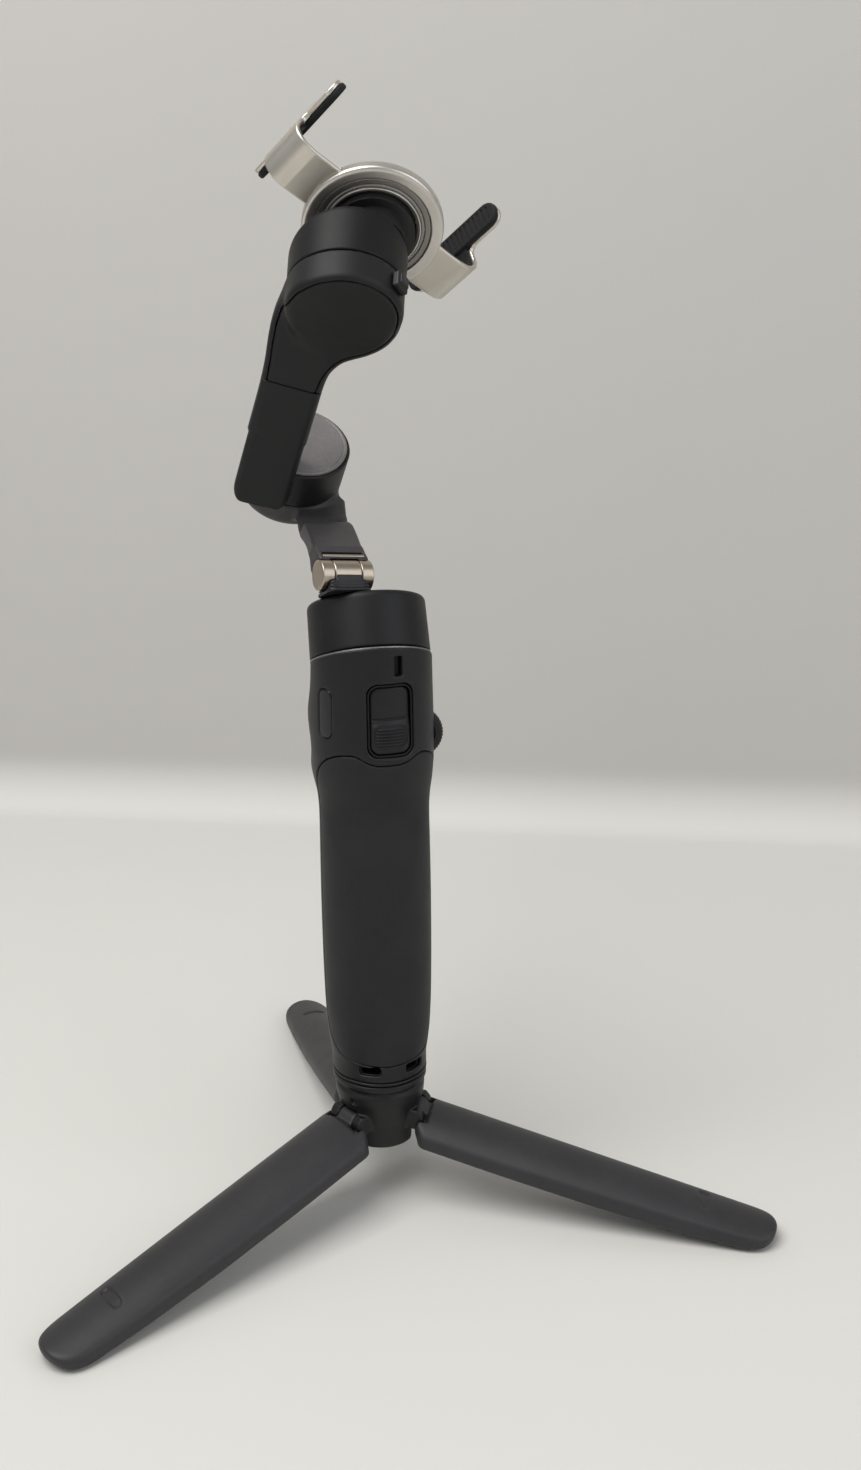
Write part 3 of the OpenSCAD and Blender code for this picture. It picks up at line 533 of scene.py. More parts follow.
# name: sRGB levels, then settings
PLASTICS = {
    "shell_plastic": ((21, 21, 24), dict(rough=0.46, grain=0.3, wear=0.16, specular=0.32)),
    "panel_grey": ((104, 102, 104), dict(rough=0.42, grain=0.22, wear=0.15)),
    "window_gloss": ((15, 15, 21), dict(rough=0.24, grain=0.02, wear=0.02, specular=0.35,
                                        smear=0.03, coat=0.12)),
    "head_plastic": ((18, 18, 20), dict(rough=0.47, wear=0.16, specular=0.3)),
    "arm_plastic": ((50, 48, 49), dict(grain=0.5, grain_scale=2600, wear=0.4)),
    "roll_plastic": ((21, 20, 22), dict(wear=0.16, specular=0.32)),
    "drum_plastic": ((13, 13, 14), dict(rough=0.48, grain=0.3, wear=0.12, specular=0.26)),
    "cap_satin_grey": ((116, 113, 112), dict(rough=0.38, grain=0.15, wear=0.12, specular=0.5)),
    "black_plastic": ((20, 20, 22), dict(rough=0.42, grain=0.25, wear=0.12)),
    "black_plastic_cad": ((26, 26, 28), dict(rough=0.42, grain=0.25, wear=0.12,
                                             bevel=0.00035)),
    "circuit_board": ((20, 74, 44), dict(rough=0.35, grain=0.3, grain_scale=1400, wear=0.1,
                                         bevel=0.0001)),
    "battery_sleeve": ((46, 66, 96), dict(rough=0.3, grain=0.1, wear=0.1, bevel=0.0004,
                                          coat=0.3)),
    "button_red": ((150, 34, 28), dict(rough=0.35, grain=0.15, wear=0.1, bevel=0.0004)),
    "button_grey": ((78, 77, 79), dict(rough=0.4, grain=0.2, wear=0.12, bevel=0.0004)),
    "leg_plastic": ((42, 41, 43), dict(grain=0.6, grain_scale=2200, wear=0.2)),
    "hub_plastic": ((21, 21, 22), dict(rough=0.44, wear=0.15, specular=0.32)),
}
RUBBERS = {
    "grip_rubber": ((25, 25, 27), dict(rough=0.62)),
    "dial_rubber": ((18, 18, 19), dict(rough=0.5)),
    "pad_rubber": ((14, 14, 15), dict(rough=0.72)),
}
METALS = {
    "clamp_aluminium": ((208, 203, 196), dict(rough=0.33, tarnish=0.06)),
    "jaw_aluminium": ((206, 200, 190), dict(rough=0.36, tarnish=0.06)),
    "clamp_grey_plate": ((62, 61, 60), dict(rough=0.42, tarnish=0.08)),
    "clamp_grey_liner": ((146, 143, 139), dict(rough=0.42, tarnish=0.08)),
    "seam_dark_satin": ((112, 110, 108), dict(rough=0.4, brush=(1, 1, 0.1), bevel=0.0002,
                                              tarnish=0.05)),
    "pin_black_oxide": ((52, 51, 52), dict(rough=0.42, brush=(1, 1, 0.2), brush_scale=2600,
                                           bevel=0.0002)),
    "knuckle_champagne": ((178, 166, 150), dict(rough=0.3, brush=(0.08, 1, 1),
                                                brush_scale=2600, tarnish=0.08)),
    "rod_aluminium": ((196, 193, 188), dict(rough=0.3, brush=(1, 1, 0.05), bevel=0.0002)),
    "ground_steel": ((176, 176, 178), dict(rough=0.3, brush=(1, 1, 0.2), brush_scale=2600,
                                           bevel=0.0002)),
    "nickel_plate": ((190, 188, 184), dict(rough=0.2, brush_scale=1600, bevel=0.0002)),
    "copper_winding": ((184, 104, 60), dict(rough=0.36, brush=(1, 1, 14), brush_scale=900,
                                            bevel=0.0002, tarnish=0.25)),
}
MATERIALS = {}
for make, table in ((plastic, PLASTICS), (rubber, RUBBERS), (metal, METALS)):
    for name, (levels, settings) in table.items():
        MATERIALS[name] = make(name, srgb(*levels), **settings)

# ---------------------------------------------------------------- grip
# height, radius
GRIP_PROFILE = smooth_curve([
    [43.0, 15.7], [48.5, 15.75], [52, 16.3], [57, 16.95], [63, 17.4], [71, 17.75],
    [85, 18.05], [103, 18.2], [120, 18.15], [131, 18.15], [137, 18.5], [143, 19.3],
    [150, 19.85], [160, 19.98], [172, 19.85], [184, 19.75], [200, 19.7]], 12)
TRIGGER_X, TRIGGER_Z = 2.3, 165.2
DIAL_X, DIAL_Z = 15.2, 156.2
STICK_Z = 158
MODE_Z, MODE_RADIUS = 143.5, 3.6
SHUTTER_Z, SHUTTER_RADIUS = 130.5, 4.1
BUTTON_GAP = 0.12
WINDOW_ANGLE, WINDOW_RADIUS, WINDOW_Z = -150, 19.9, 166.6


def turn(x, y, degrees):
    """angle about the grip's axis from a heading, -pi to pi"""
    angle = np.arctan2(y, x) - math.radians(degrees)
    return (angle + np.pi) % (2 * np.pi) - np.pi


def swell(u, v, width, height):
    return np.exp(-(u / width) ** 2 - (v / height) ** 2)


def grip_outer(points):
    """the grip's outside, with no ends"""
    x, y, z = points.T
    radius = np.interp(z, GRIP_PROFILE[:, 0], GRIP_PROFILE[:, 1])
    # shallow hollow under the trigger, and two swellings at the back on the -X side
    radius = radius - 2.0 * swell(turn(x, y, -92), z - 133.5, 0.8, 9.5)
    back = turn(x, y, 140)
    radius = (radius + 2.3 * swell(back, z - 163, 0.55, 9.0)
              + 1.7 * swell(back, z - 145.5, 0.55, 5.0))
    return np.hypot(x, y) - radius


def above_pan(points, level):
    return (points - PAN_ORIGIN) @ PAN_AXIS - level


def cover_outline(points):
    """the rubber cover's outline on the unrolled grip"""
    x, y, z = points.T
    across = turn(x, y, -90) * 18.4
    top = 154.2 - 3.4 * np.exp(-((across - 1.6) / 8.6) ** 4)
    bottom = 49.8 + 0.006 * across * across
    return meet(meet(np.abs(across) - 27.6, z - top, 21.0), bottom - z, 11.0)


def trigger_outline(points, width, height):
    return box2(points[:, 0] - TRIGGER_X, points[:, 2] - TRIGGER_Z, width, height, 3.4)


def panel_outline(points):
    x, y, z = points.T
    return box2(turn(x, y, 90) * 19.5, z - 146, 17.5, 53, 6.5)


def wall_slot(points, degrees, radius, level, size, corner, floor_radius):
    """rounded opening in the wall at a heading, cut in as far as floor_radius"""
    x, y, z = points.T
    outline = box2(turn(x, y, degrees) * radius, z - level, *size, corner)
    return np.maximum(outline, floor_radius - np.hypot(x, y))


def low_slots(points):
    """two slots low on the front"""
    return np.minimum(wall_slot(points, -112.5, 15.8, 47.9, (7.6, 2.9), 1.1, 12.4),
                      wall_slot(points, -53, 15.8, 47.9, (7.8, 2.9), 1.1, 12.4))


def grip_shell(points):
    x, y, z = points.T
    radius = np.hypot(x, y)
    outer = grip_outer(points)
    # recess for the rubber cover
    outer = cut(outer, cut(cover_outline(points) - 0.28, outer + 0.98, 0.15), 0.15)
    body = meet(outer, above_pan(points, -1.0), 0.7)
    body = meet(body, 43.95 - z, 0.9)
    # hollow inside, bored through at both ends
    hollow = meet(meet(radius - 14.6, above_pan(points, -5.0), 0.4), 50.2 - z, 0.4)
    body = cut(body, hollow, 0.3)
    body = cut(body, meet(radius - 7.2, 60 - z, 0.3), 0.3)
    body = cut(body, meet(radius - 14.42, z - 51, 0.3), 0.3)
    # trigger opening with a soft lip
    body = cut(body, meet(trigger_outline(points, 15.0, 23.3), y + 12.0, 0.3), 0.9)
    # dial pocket
    pocket = extrude(np.hypot(x - DIAL_X, z - DIAL_Z) - 8.4, y, -4.1, 4.1, 0.3)
    body = cut(body, pocket, 0.5)
    # upright slot over the trigger
    body = cut(body, wall_slot(points, -75, 19.8, 182.4, (2.8, 6.3), 0.4, 17.0), 0.25)
    body = cut(body, low_slots(points), 0.25)
    # seats for the thumb panel and the side window
    body = cut(body, np.maximum(panel_outline(points) - 0.12, 17.6 - radius), 0.3)
    window = wall_slot(points, WINDOW_ANGLE, WINDOW_RADIUS, WINDOW_Z, (6.6, 16.2), 2.9, 18.9)
    body = cut(body, window, 0.3)
    # flat opening low on the back
    return cut(body, wall_slot(points, 90, 16.6, 57.5, (9.6, 3.8), 1.8, 12.5), 0.3)


def grip_cover(points):
    outer = grip_outer(points)
    body = meet(outer, cover_outline(points), 0.55)
    body = cut(body, outer + 0.93, 0.2)
    opening = meet(trigger_outline(points, 16.8, 25.0), points[:, 1] + 12.0, 0.3)
    return cut(body, opening, 0.6)


def thumb_panel(points):
    x, y, z = points.T
    radius = np.hypot(x, y)
    body = meet(grip_outer(points) - 0.35, panel_outline(points), 0.9)
    body = meet(body, 17.65 - radius, 0.2)
    body = meet(body, above_pan(points, -2.2), 0.4)
    # stick hole in a shallow dish
    hole = meet(np.hypot(x, z - STICK_Z) - 6.22, -y, 0.2)
    dish = np.sqrt(x * x + (z - STICK_Z) ** 2 + (y - 29.5) ** 2) - 11.8
    body = cut(body, join(hole, dish, 0.8), 0.7)
    for level, size in ((MODE_Z, MODE_RADIUS), (SHUTTER_Z, SHUTTER_RADIUS)):
        hole = meet(np.hypot(x, z - level) - (size + BUTTON_GAP), -y, 0.2)
        body = cut(body, hole, 0.5)
    # row of four pinholes
    for k in range(4):
        hole = meet(np.hypot(x - 4.5 + k * 3.0, z - 122.9) - 0.42, 18.8 - radius, 0.1)
        body = cut(body, hole, 0.15)
    return body


def side_window(points):
    x, y, z = points.T
    across = turn(x, y, WINDOW_ANGLE) * WINDOW_RADIUS
    outline = box2(across, z - WINDOW_Z, 6.35, 15.95, 2.8)
    body = meet(grip_outer(points) + 0.1, outline, 0.7)
    return meet(body, 18.95 - np.hypot(x, y), 0.2)


def trigger_surround(points):
    rim = np.abs(trigger_outline(points, 14.1, 22.4)) - 0.32
    return meet(meet(rim, grip_outer(points) + 0.35, 0.3), points[:, 1] + 14.2, 0.2)


def trigger_key(points):
    x, y, z = points[:, 0] - TRIGGER_X, points[:, 1], points[:, 2] - TRIGGER_Z
    face = grip_outer(points) + 1.15
    outline = box2(x, z, 13.1, 21.4, 3.0)
    body = meet(face, outline, 1.1)
    # the lower half swells into a finger pad
    lower = meet(meet(face - 0.95, outline + 0.25, 1.6), z + 0.9, 2.0)
    body = join(body, lower, 1.2)
    # ribbed recess in the pad
    pad = box2(x, z + 5.3, 10.9, 7.6, 2.6)
    body = cut(body, cut(pad, face - 0.42, 0.25), 0.3)
    ribs = np.abs((z + 9.2) % 1.0 - 0.5) - 0.27
    ribs = meet(meet(ribs, pad + 0.7, 0.2), face - 0.78, 0.2)
    body = join(body, cut(ribs, face + 0.5, 0.1), 0.12)
    # groove across the middle
    groove = meet(np.abs(z - 0.4) - 0.3, np.abs(x) - 5.9, 0.2)
    body = cut(body, cut(groove, face + 0.35, 0.1), 0.25)
    return meet(body, y + 15.25, 0.2)


piece("grip_body_shell", "grip", grip_shell, *column(22.9, 42.5, 192.5), 0.55,
      "shell_plastic", cad="grip_shell")
piece("grip_rubber_cover", "grip", grip_cover, (-21, -21, 48), (21, 6, 156), 0.5,
      "grip_rubber", cad="grip_cover")
piece("thumb_panel", "grip", thumb_panel, (-11, 14, 117), (11, 24.5, 175), 0.36,
      "panel_grey", cad="control_panel")
piece("side_window", "grip", side_window, (-22, -15, 156), (-13, -3, 177), 0.28,
      "window_gloss", cad="status_window")
piece("trigger_surround", "grip", trigger_surround, (-6.5, -21, 152), (11, -13, 178.5), 0.26,
      "drum_plastic", cad="trigger_frame")
piece("trigger_key", "trigger", trigger_key, (-5.8, -21.8, 152.8), (10.2, -13.8, 177.6), 0.24,
      "shell_plastic", cad="trigger")


def side_dial(points):
    """knurled wheel turning about Y, crowned across its rim"""
    x, y, z = points[:, 0] - DIAL_X, points[:, 1], points[:, 2] - DIAL_Z
    radius = np.hypot(x, z)
    rim = 8.2 - 0.3 * np.abs(np.sin(np.arctan2(z, x) * 22)) - 0.045 * y * y
    body = meet(radius - rim, np.abs(y) - 3.7, 1.2)
    body = cut(body, radius - 1.56, 0.1)
    return cut(body, meet(ring(radius, 4.4, 0.5), 3.3 - np.abs(y), 0.2), 0.2)


def thumb_stick(points):
    """stem along Y with a dished, knurled cap"""
    x, y, z = points[:, 0], points[:, 1], points[:, 2] - STICK_Z
    radius = np.hypot(x, z)
    stem = extrude(radius - 1.7, y, 14.6, 20.5, 0.3)
    cap = meet(radius - (3.2 + 0.3 * (y - 19.4)), slab(y, 19.3, 22.1), 0.8)
    cap = cut(cap, np.sqrt(radius * radius + (y - 28.0) ** 2) - 7.0, 0.5)
    knurl = np.abs(np.sin(np.arctan2(z, x) * 14)) * 0.16
    return join(stem, cap + knurl * (radius > 2.6), 0.6)


def button(level, size, top, dished):
    """round button along Y: dished, or domed with a square line on its face"""
    def field(points):
        x, y, z = points[:, 0], points[:, 1], points[:, 2] - level
        radius = np.hypot(x, z)
        body = extrude(radius - size, y, 16.6, top, 0.5)
        if dished:
            ball = np.sqrt(radius * radius + (y - top - 9.2) ** 2) - 9.7
            body = cut(body, ball, 0.4)
        else:
            body = meet(body, np.sqrt(radius * radius + (y - top + 12) ** 2) - 12, 0.3)
            line = np.abs(np.maximum(np.abs(x), np.abs(z)) - 1.0) - 0.16
            body = cut(body, meet(line, top - 0.35 - y, 0.05), 0.08)
        return join(body, extrude(radius - 1.3, y, 15.2, 17.2, 0.2), 0.2)
    return field


def base_ring(points):
    """flanged ring closing the bottom of the grip"""
    x, y, z = points.T
    radius = np.hypot(x, y)
    body = join(extrude(radius - 14.35, z, 43.9, 49.8, 0.3),
                extrude(radius - 15.75, z, 42.95, 43.85, 0.35), 0.2)
    body = cut(body, radius - 3.1, 0.1)
    body = cut(body, meet(ring(radius, 9.1, 3.5), 46.2 - z, 0.3), 0.4)
    return cut(body, low_slots(points), 0.2)


piece("side_dial", "dial", side_dial, (6.6, -4.4, 147.6), (24.4, 4.4, 164.8), 0.24,
      "dial_rubber", cad="dial")
piece("thumb_stick", "stick", thumb_stick, (-4.8, 14, 153.2), (4.8, 23, 162.8), 0.24,
      "pad_rubber", cad="stick")
piece("mode_key", "mode_button", button(MODE_Z, MODE_RADIUS, top=20.6, dished=False),
      (-4.2, 14.8, 139.3), (4.2, 21.4, 147.7), 0.22, "button_grey", cad="mode_button")
piece("shutter_key", "shutter_button",
      button(SHUTTER_Z, SHUTTER_RADIUS, top=19.9, dished=True),
      (-4.7, 14.8, 125.8), (4.7, 20.8, 135.2), 0.22, "button_red", cad="shutter_button")
piece("base_ring", "grip", base_ring, *column(16.6, 42.4, 50.4), 0.36,
      "hub_plastic", cad="base_cap")

# ---------------------------------------------------------------- pan motor and hinge
BARREL_RADIUS = 5.0
BARREL_BORE = BARREL_RADIUS + 0.03
# top of the pan motor, in the hinge frame
PAN_TOP = -((HINGE_ORIGIN - PAN_ORIGIN) @ PAN_AXIS) + PAN_HEIGHT


def pan_cover(points):
    """slightly tapered cup, open at the bottom"""
    x, y, z = points.T
    radius = np.hypot(x, y)
    wall = 19.75 - 0.25 * np.clip(z / PAN_HEIGHT, 0, 1)
    body = meet(radius - wall, z - PAN_HEIGHT, 2.3)
    body = meet(body, 0.12 - z, 0.35)
    body = cut(body, meet(radius - 17.4, z - 16.9, 0.4), 0.3)
    # fine ring groove in the top
    return cut(body, meet(ring(radius, 16.6, 0.14), PAN_HEIGHT - 0.3 - z, 0.05), 0.08)


def hinge_block(points):
    """ribbed block on a flat foot, hollowed for the barrel"""
    x, y, z = points.T
    ribs = 0.5 + 0.5 * np.cos((z - PAN_TOP - 1.2) * 2 * np.pi / 1.1)
    groove = 0.28 * ribs * (z > PAN_TOP + 1.0)
    half = 6.7 + 0.10 * np.clip(-2 - z, 0, 9)
    block = meet(np.abs(x) - half + groove, np.abs(y) - 5.6 + groove, 1.6)
    block = meet(block, slab(z, PAN_TOP + 0.03, -2.6), 0.5)
    neck = meet(np.abs(x) - 4.55, np.abs(y) - 5.4, 0.8)
    neck = meet(neck, slab(z, PAN_TOP + 0.03, -0.9), 0.3)
    foot = meet(box2(x, y, 15.2, 12.8, 3.4), slab(z, PAN_TOP + 0.03, PAN_TOP + 0.9), 0.5)
    body = join(join(block, neck, 0.4), foot, 0.5)
    radius = np.hypot(y, z)
    body = cut(body, radius - BARREL_BORE, 0.15)
    return cut(body, meet(radius - 5.5, 4.65 - np.abs(x), 0.1), 0.2)


def barrel_mid(points):
    x, y, z = points.T
    radius = np.hypot(y, z)
    return cut(extrude(radius - BARREL_RADIUS, x, -4.6, 4.6, 0.4), radius - 1.9, 0.1)


def barrel_ends(points):
    """two outer barrels, each with a ring groove in its end"""
    x, y, z = points.T
    out = np.abs(x)
    radius = np.hypot(y, z)
    body = extrude(radius - BARREL_RADIUS, out, 4.75, 8.8, 0.3)
    body = cut(body, meet(ring(radius, 4.3, 0.12), 8.62 - out, 0.05), 0.06)
    return cut(body, meet(radius - 1.82, out - 8.35, 0.1), 0.1)


piece("pan_motor_cover", "pan_rotor", pan_cover, *column(20.5, -0.7, 19.2), 0.5,
      "head_plastic", PAN, cad="pan_cover")
piece("hinge_block", "pan_rotor", hinge_block, (-11.5, -8.5, PAN_TOP - 0.5),
      (11.5, 8.5, 0.2), 0.3, "black_plastic", HINGE, cad="fold_base")
piece("hinge_barrel_mid", "pan_rotor", barrel_mid, *column(5.6, -5.6, 5.6), 0.25,
      "knuckle_champagne", HINGE, cad="fold_knuckle_mid")
piece("hinge_barrel_ends", "pan_arm", barrel_ends, (-10.3, -5.6, -5.6), (10.3, 5.6, 5.6),
      0.19, "knuckle_champagne", HINGE, cad="fold_knuckle_outer")

# ---------------------------------------------------------------- pan arm
ROTOR_RADIUS = 17.9
# the arm's side outline: y along it, z; upper edge out, lower edge back
ARM_SIDE = np.vstack([
    [[2.2, 4.6], [3.4, 5.0]],
    smooth_curve([[9, 4.8], [17, 2.4], [24, 0.1], [30, -2.2], [36, -5.6], [42, -7.4]]),
    [[62, -7.7]],
    [[62, -13.0], [44, -12.8]],
    smooth_curve([[38, -12.0], [31, -9.9], [24, -6.4], [17, -3.4], [10, -1.6]]),
    [[6, -3.6], [0.8, -4.3]]])
# the arm seen along z: x, y
ARM_PLAN = [[-8.7, -7], [-8.7, 6], [-8.5, 10.5], [-4.3, 27.6], [-0.4, 43], [-4, 62],
            [14.6, 62], [19.2, 50.5], [13.7, 29], [8.9, 10.5], [8.7, 6], [8.7, -7]]


def arm_bar(points):
    x, y, z = points.T
    body = meet(polygon(y, z, ARM_SIDE), polygon(x, y, ARM_PLAN), 1.3)
    # room for the hinge barrels and block
    radius = np.hypot(y, z)
    body = cut(body, radius - BARREL_BORE, 0.2)
    body = cut(body, meet(radius - 5.4, np.abs(x) - 4.82, 0.1), 0.2)
    notch = meet(meet(np.abs(x) - 4.9, slab(y, -8, 5.2), 0.1), slab(z, -8, -0.6), 0.1)
    body = cut(body, notch, 0.2)
    # narrow slot across the +Z face at the hinge end
    return cut(body, meet(meet(np.abs(x) - 7.2, slab(y, 4.9, 6.0), 0.1), 3.4 - z, 0.1), 0.12)


def pan_arm(points):
    """the bar and the cup that holds the middle motor"""
    radius, z = axial(points, ARM, DRUM)
    cup = meet(meet(radius - ROTOR_RADIUS, -16.6 - z, 4.4), z + 5.66, 0.5)
    body = join(arm_bar(points), cup, 1.6)
    # room for the roll arm to swing past
    body = cut(body, meet(radius - 29.4, -5.66 - z, 2.0), 1.4)
    # hollow round a central post
    hollow = meet(meet(radius - 15.9, -12.45 - z, 0.3), 3.4 - radius, 0.2)
    body = cut(body, hollow, 0.2)
    return join(body, meet(radius - 3.4, slab(z, -13, 3.0), 0.2), 0.1)


def arm_strip(points):
    body = box3(points, (0, 3.95, 4.5), (14.4, 1.0, 1.3), 0.22)
    return cut(body, np.hypot(points[:, 1], points[:, 2]) - 5.08, 0.05)


piece("pan_arm_casting", "pan_arm", pan_arm, (-18.8, -6.2, -23.5), (20.8, 81.5, 7.2), 0.44,
      "arm_plastic", ARM, cad="pan_arm")
piece("arm_root_strip", "pan_arm", arm_strip, (-8.0, 3.2, 3.4), (8.0, 5.2, 5.7), 0.18,
      "knuckle_champagne", ARM, slot="fold_knuckle_outer")

# ---------------------------------------------------------------- roll arm
# outline of the widening head: x, z; up the +X edge, down the -X edge
FLARE = np.vstack([
    smooth_curve([[18.4, 20], [18.4, 36], [18.9, 46], [19.9, 56], [20.1, 63], [19.2, 70],
                  [15, 80]]),
    smooth_curve([[-12, 82], [-18.6, 72], [-18.2, 66.4], [-16.0, 62.4], [-12.2, 58.6],
                  [-8.0, 55.3], [-4.8, 51.9], [-2.6, 47.6], [-1.7, 42], [-1.7, 34],
                  [-1.7, 20]])])
PARTING_Z = 40.8     # seam between the bar and the head
LAST_RADIUS = 18.5


def roll_outer(points):
    """the arm's outside, and the points' radius and height in the last motor's frame"""
    x, y, z = points.T
    section = box2(x - 8.25, y - 15.85, 20.2, 9.6, 2.6)
    side = box2(x - 8.2, z - 25.2, 20.2, 71.0, 8.5)
    bar = meet(meet(section, z - 60.0, 1.4), side, 1.6)
    radius, height = axial(points, MIDDLE, LAST)
    cup = meet(radius - LAST_RADIUS, -11.4 - height, 3.2)
    cup = meet(cup, height + 0.03, 0.5)
    flare = meet(polygon(x, z, FLARE), slab(y, 11.2, 20.55), 3.6)
    body = join(join(bar, flare, 1.2), cup, 4.0)
    return meet(body, height + 0.03, 0.5), radius, height


def front_zone(points, radius, height):
    """outline of the inset cover and the layer it fills"""
    x, y, z = points.T
    outline = join(polygon(x, z, FLARE) + 2.0, radius - 16.7, 2.5)
    outline = meet(outline, -(z - PARTING_Z), 0.8)
    return outline, np.minimum(18.7 - y, height + 9.5)


def cut_cap_seat(body, radius, z):
    return cut(body, meet(radius - 16.86, slab(z, 7.9, 9.65), 0.2), 0.2)


def roll_head(points):
    body, radius, height = roll_outer(points)
    outline, layer = front_zone(points, radius, height)
    body = cut(body, meet(outline - 0.2, layer - 0.12, 0.15), 0.2)
    body = meet(body, -(points[:, 2] - PARTING_Z) + 0.12, 0.5)
    body = cut_cap_seat(body, *axial(points, MIDDLE, DRUM))
    return cut(body, meet(radius - 16.0, slab(height, -8.2, 3), 0.4), 0.3)


def roll_front(points):
    body, radius, height = roll_outer(points)
    outline, layer = front_zone(points, radius, height)
    return meet(meet(body, outline, 0.7), layer, 0.2)


def roll_bar(points):
    body = meet(roll_outer(points)[0], points[:, 2] - PARTING_Z + 0.12, 0.5)
    radius, z = axial(points, MIDDLE, DRUM)
    body = cut(body, meet(radius - 15.8, z - 5.4, 0.3), 0.3)
    body = meet(body, -5.45 - z, 0.3)
    return cut_cap_seat(body, radius, z)


def middle_shell(points):
    x, y, z = points.T
    radius = np.hypot(x, y)
    body = extrude(radius - ROTOR_RADIUS, z, -5.45, 8.85, 0.6)
    body = cut(body, meet(radius - 15.8, z - 5.4, 0.3), 0.3)
    body = cut(body, meet(radius - 16.86, 7.9 - z, 0.2), 0.25)
    return cut(body, meet(radius - 2.0, slab(z, 2, 10), 0.2), 0.1)


def middle_cap(points):
    """disc with a ring groove and a central stub"""
    x, y, z = points.T
    radius = np.hypot(x, y)
    body = extrude(radius - 16.72, z, 7.95, 9.7, 0.5)
    body = cut(body, meet(ring(radius, 15.4, 0.2), 9.45 - z, 0.05), 0.1)
    return join(body, extrude(radius - 1.9, z, 5.5, 8.4, 0.2), 0.2)


def last_drum(points):
    """drum cut off square to the clamp's axis"""
    x, y, z = points.T
    radius = np.hypot(x, y)
    seat_radius, seat_z = axial(points, LAST, CLAMP)
    wall = LAST_RADIUS + 0.03 * np.clip(z, 0, 20)
    body = meet(radius - wall, seat_z - SEAT_Z, 3.0)
    body = meet(body, 0.24 - z, 0.6)
    # round opening in the slanted end
    body = cut(body, meet(seat_radius - 8.25, SEAT_Z - 4.0 - seat_z, 0.3), 0.4)
    hollow = meet(meet(radius - 16.3, seat_z - SEAT_Z + 2.3, 0.3), -1 - z, 0.3)
    return cut(body, hollow, 0.3)


def seat_tab(points):
    """stepped tab on the rim of the last motor's cup"""
    x, y, z = points.T
    angle = math.radians(-38)
    out = x * math.cos(angle) + y * math.sin(angle)
    side = -x * math.sin(angle) + y * math.cos(angle)
    turned = np.stack([out, side, z], 1)
    body = join(box3(turned, (19.6, 0, -4.9), (2.4, 6.0, 5.6), 0.6),
                box3(turned, (20.9, 0, -4.7), (1.4, 4.2, 3.8), 0.5), 0.4)
    return cut(body, np.hypot(x, y) - 18.56, 0.1)


HEAD_BOX = ((-24, 2, 38.5), (22, 36, 98))
piece("middle_motor_shell", "roll_arm", middle_shell, *column(18.5, -6.1, 9.6), 0.4,
      "roll_plastic", DRUM, cad="roll_arm")
piece("roll_arm_bar", "roll_arm", roll_bar, (-3.4, 8, -12), (20.8, 21.6, 43.2), 0.42,
      "roll_plastic", MIDDLE, slot="roll_arm")
piece("roll_arm_head", "roll_arm", roll_head, *HEAD_BOX, 0.46,
      "roll_plastic", MIDDLE, slot="roll_arm")
piece("roll_arm_front", "roll_arm", roll_front, *HEAD_BOX, 0.46,
      "roll_plastic", MIDDLE, slot="roll_arm")
piece("middle_motor_cap", "roll_arm", middle_cap, *column(17.4, 5.1, 10.3), 0.34,
      "cap_satin_grey", DRUM, cad="mid_cap")
piece("last_motor_drum", "roll_arm", last_drum, *column(20.6, -0.4, 24.5), 0.46,
      "drum_plastic", LAST, cad="last_housing")
piece("seat_latch_tab", "roll_arm", seat_tab, (10.5, -18.5, -8.6), (20.5, -8, -1.4), 0.25,
      "black_plastic", LAST, cad="mount_tab")

# ---------------------------------------------------------------- clamp
BAND_Y, BAND_WIDTH = -0.8, 16.4
CHANNEL_RADIUS = 17.1    # middle of the channel in the ring's -Z face


def clamp_ring(points):
    x, y, z = points.T
    radius = np.hypot(x, y)
    body = meet(radius - 22.8, slab(z, 0.0, 4.6), 1.5)
    # channel and plate recess, with a narrow lip between them
    body = cut(body, meet(ring(radius, CHANNEL_RADIUS, 1.6), z - 1.1, 0.2), 0.25)
    body = cut(body, meet(radius - 14.9, z - 1.1, 0.2), 0.25)
    # passage for the jaw bands
    passage = meet(np.abs(y - BAND_Y) - (BAND_WIDTH / 2 + 0.15), slab(z, 1.5, 3.4), 0.1)
    return cut(body, passage, 0.15)


def clamp_plate(points):
    """thin disc with two ring grooves, four holes and a centre hole"""
    x, y, z = points.T
    radius = np.hypot(x, y)
    body = extrude(radius - 14.86, z, 0.12, 1.08, 0.15)
    for groove in (13.6, 8.6):
        body = cut(body, meet(ring(radius, groove, 0.28), z - 0.42, 0.05), 0.1)
    for k in range(4):
        angle = k * math.pi / 2
        hole = np.hypot(x - 11.4 * math.cos(angle), y - 11.4 * math.sin(angle)) - 1.9
        body = cut(body, hole, 0.1)
    return cut(body, radius - 5.6, 0.15)


def clamp_liner(points):
    x, y, z = points.T
    radius = np.hypot(x, y)
    body = extrude(ring(radius, CHANNEL_RADIUS, 1.57), z, 0.45, 1.08, 0.12)
    return cut(body, meet(ring(radius, 16.6, 0.16), z - 0.68, 0.05), 0.06)


def clamp_pad(points):
    """flat ring with radial grooves"""
    x, y, z = points.T
    radius = np.hypot(x, y)
    body = extrude(ring(radius, 14.5, 5.1), z, 4.62, 5.5, 0.35)
    grooves = np.abs(np.sin(np.arctan2(y, x) * 12)) * radius / 12 - 0.25
    return cut(body, meet(grooves, 5.15 - z, 0.1), 0.15)


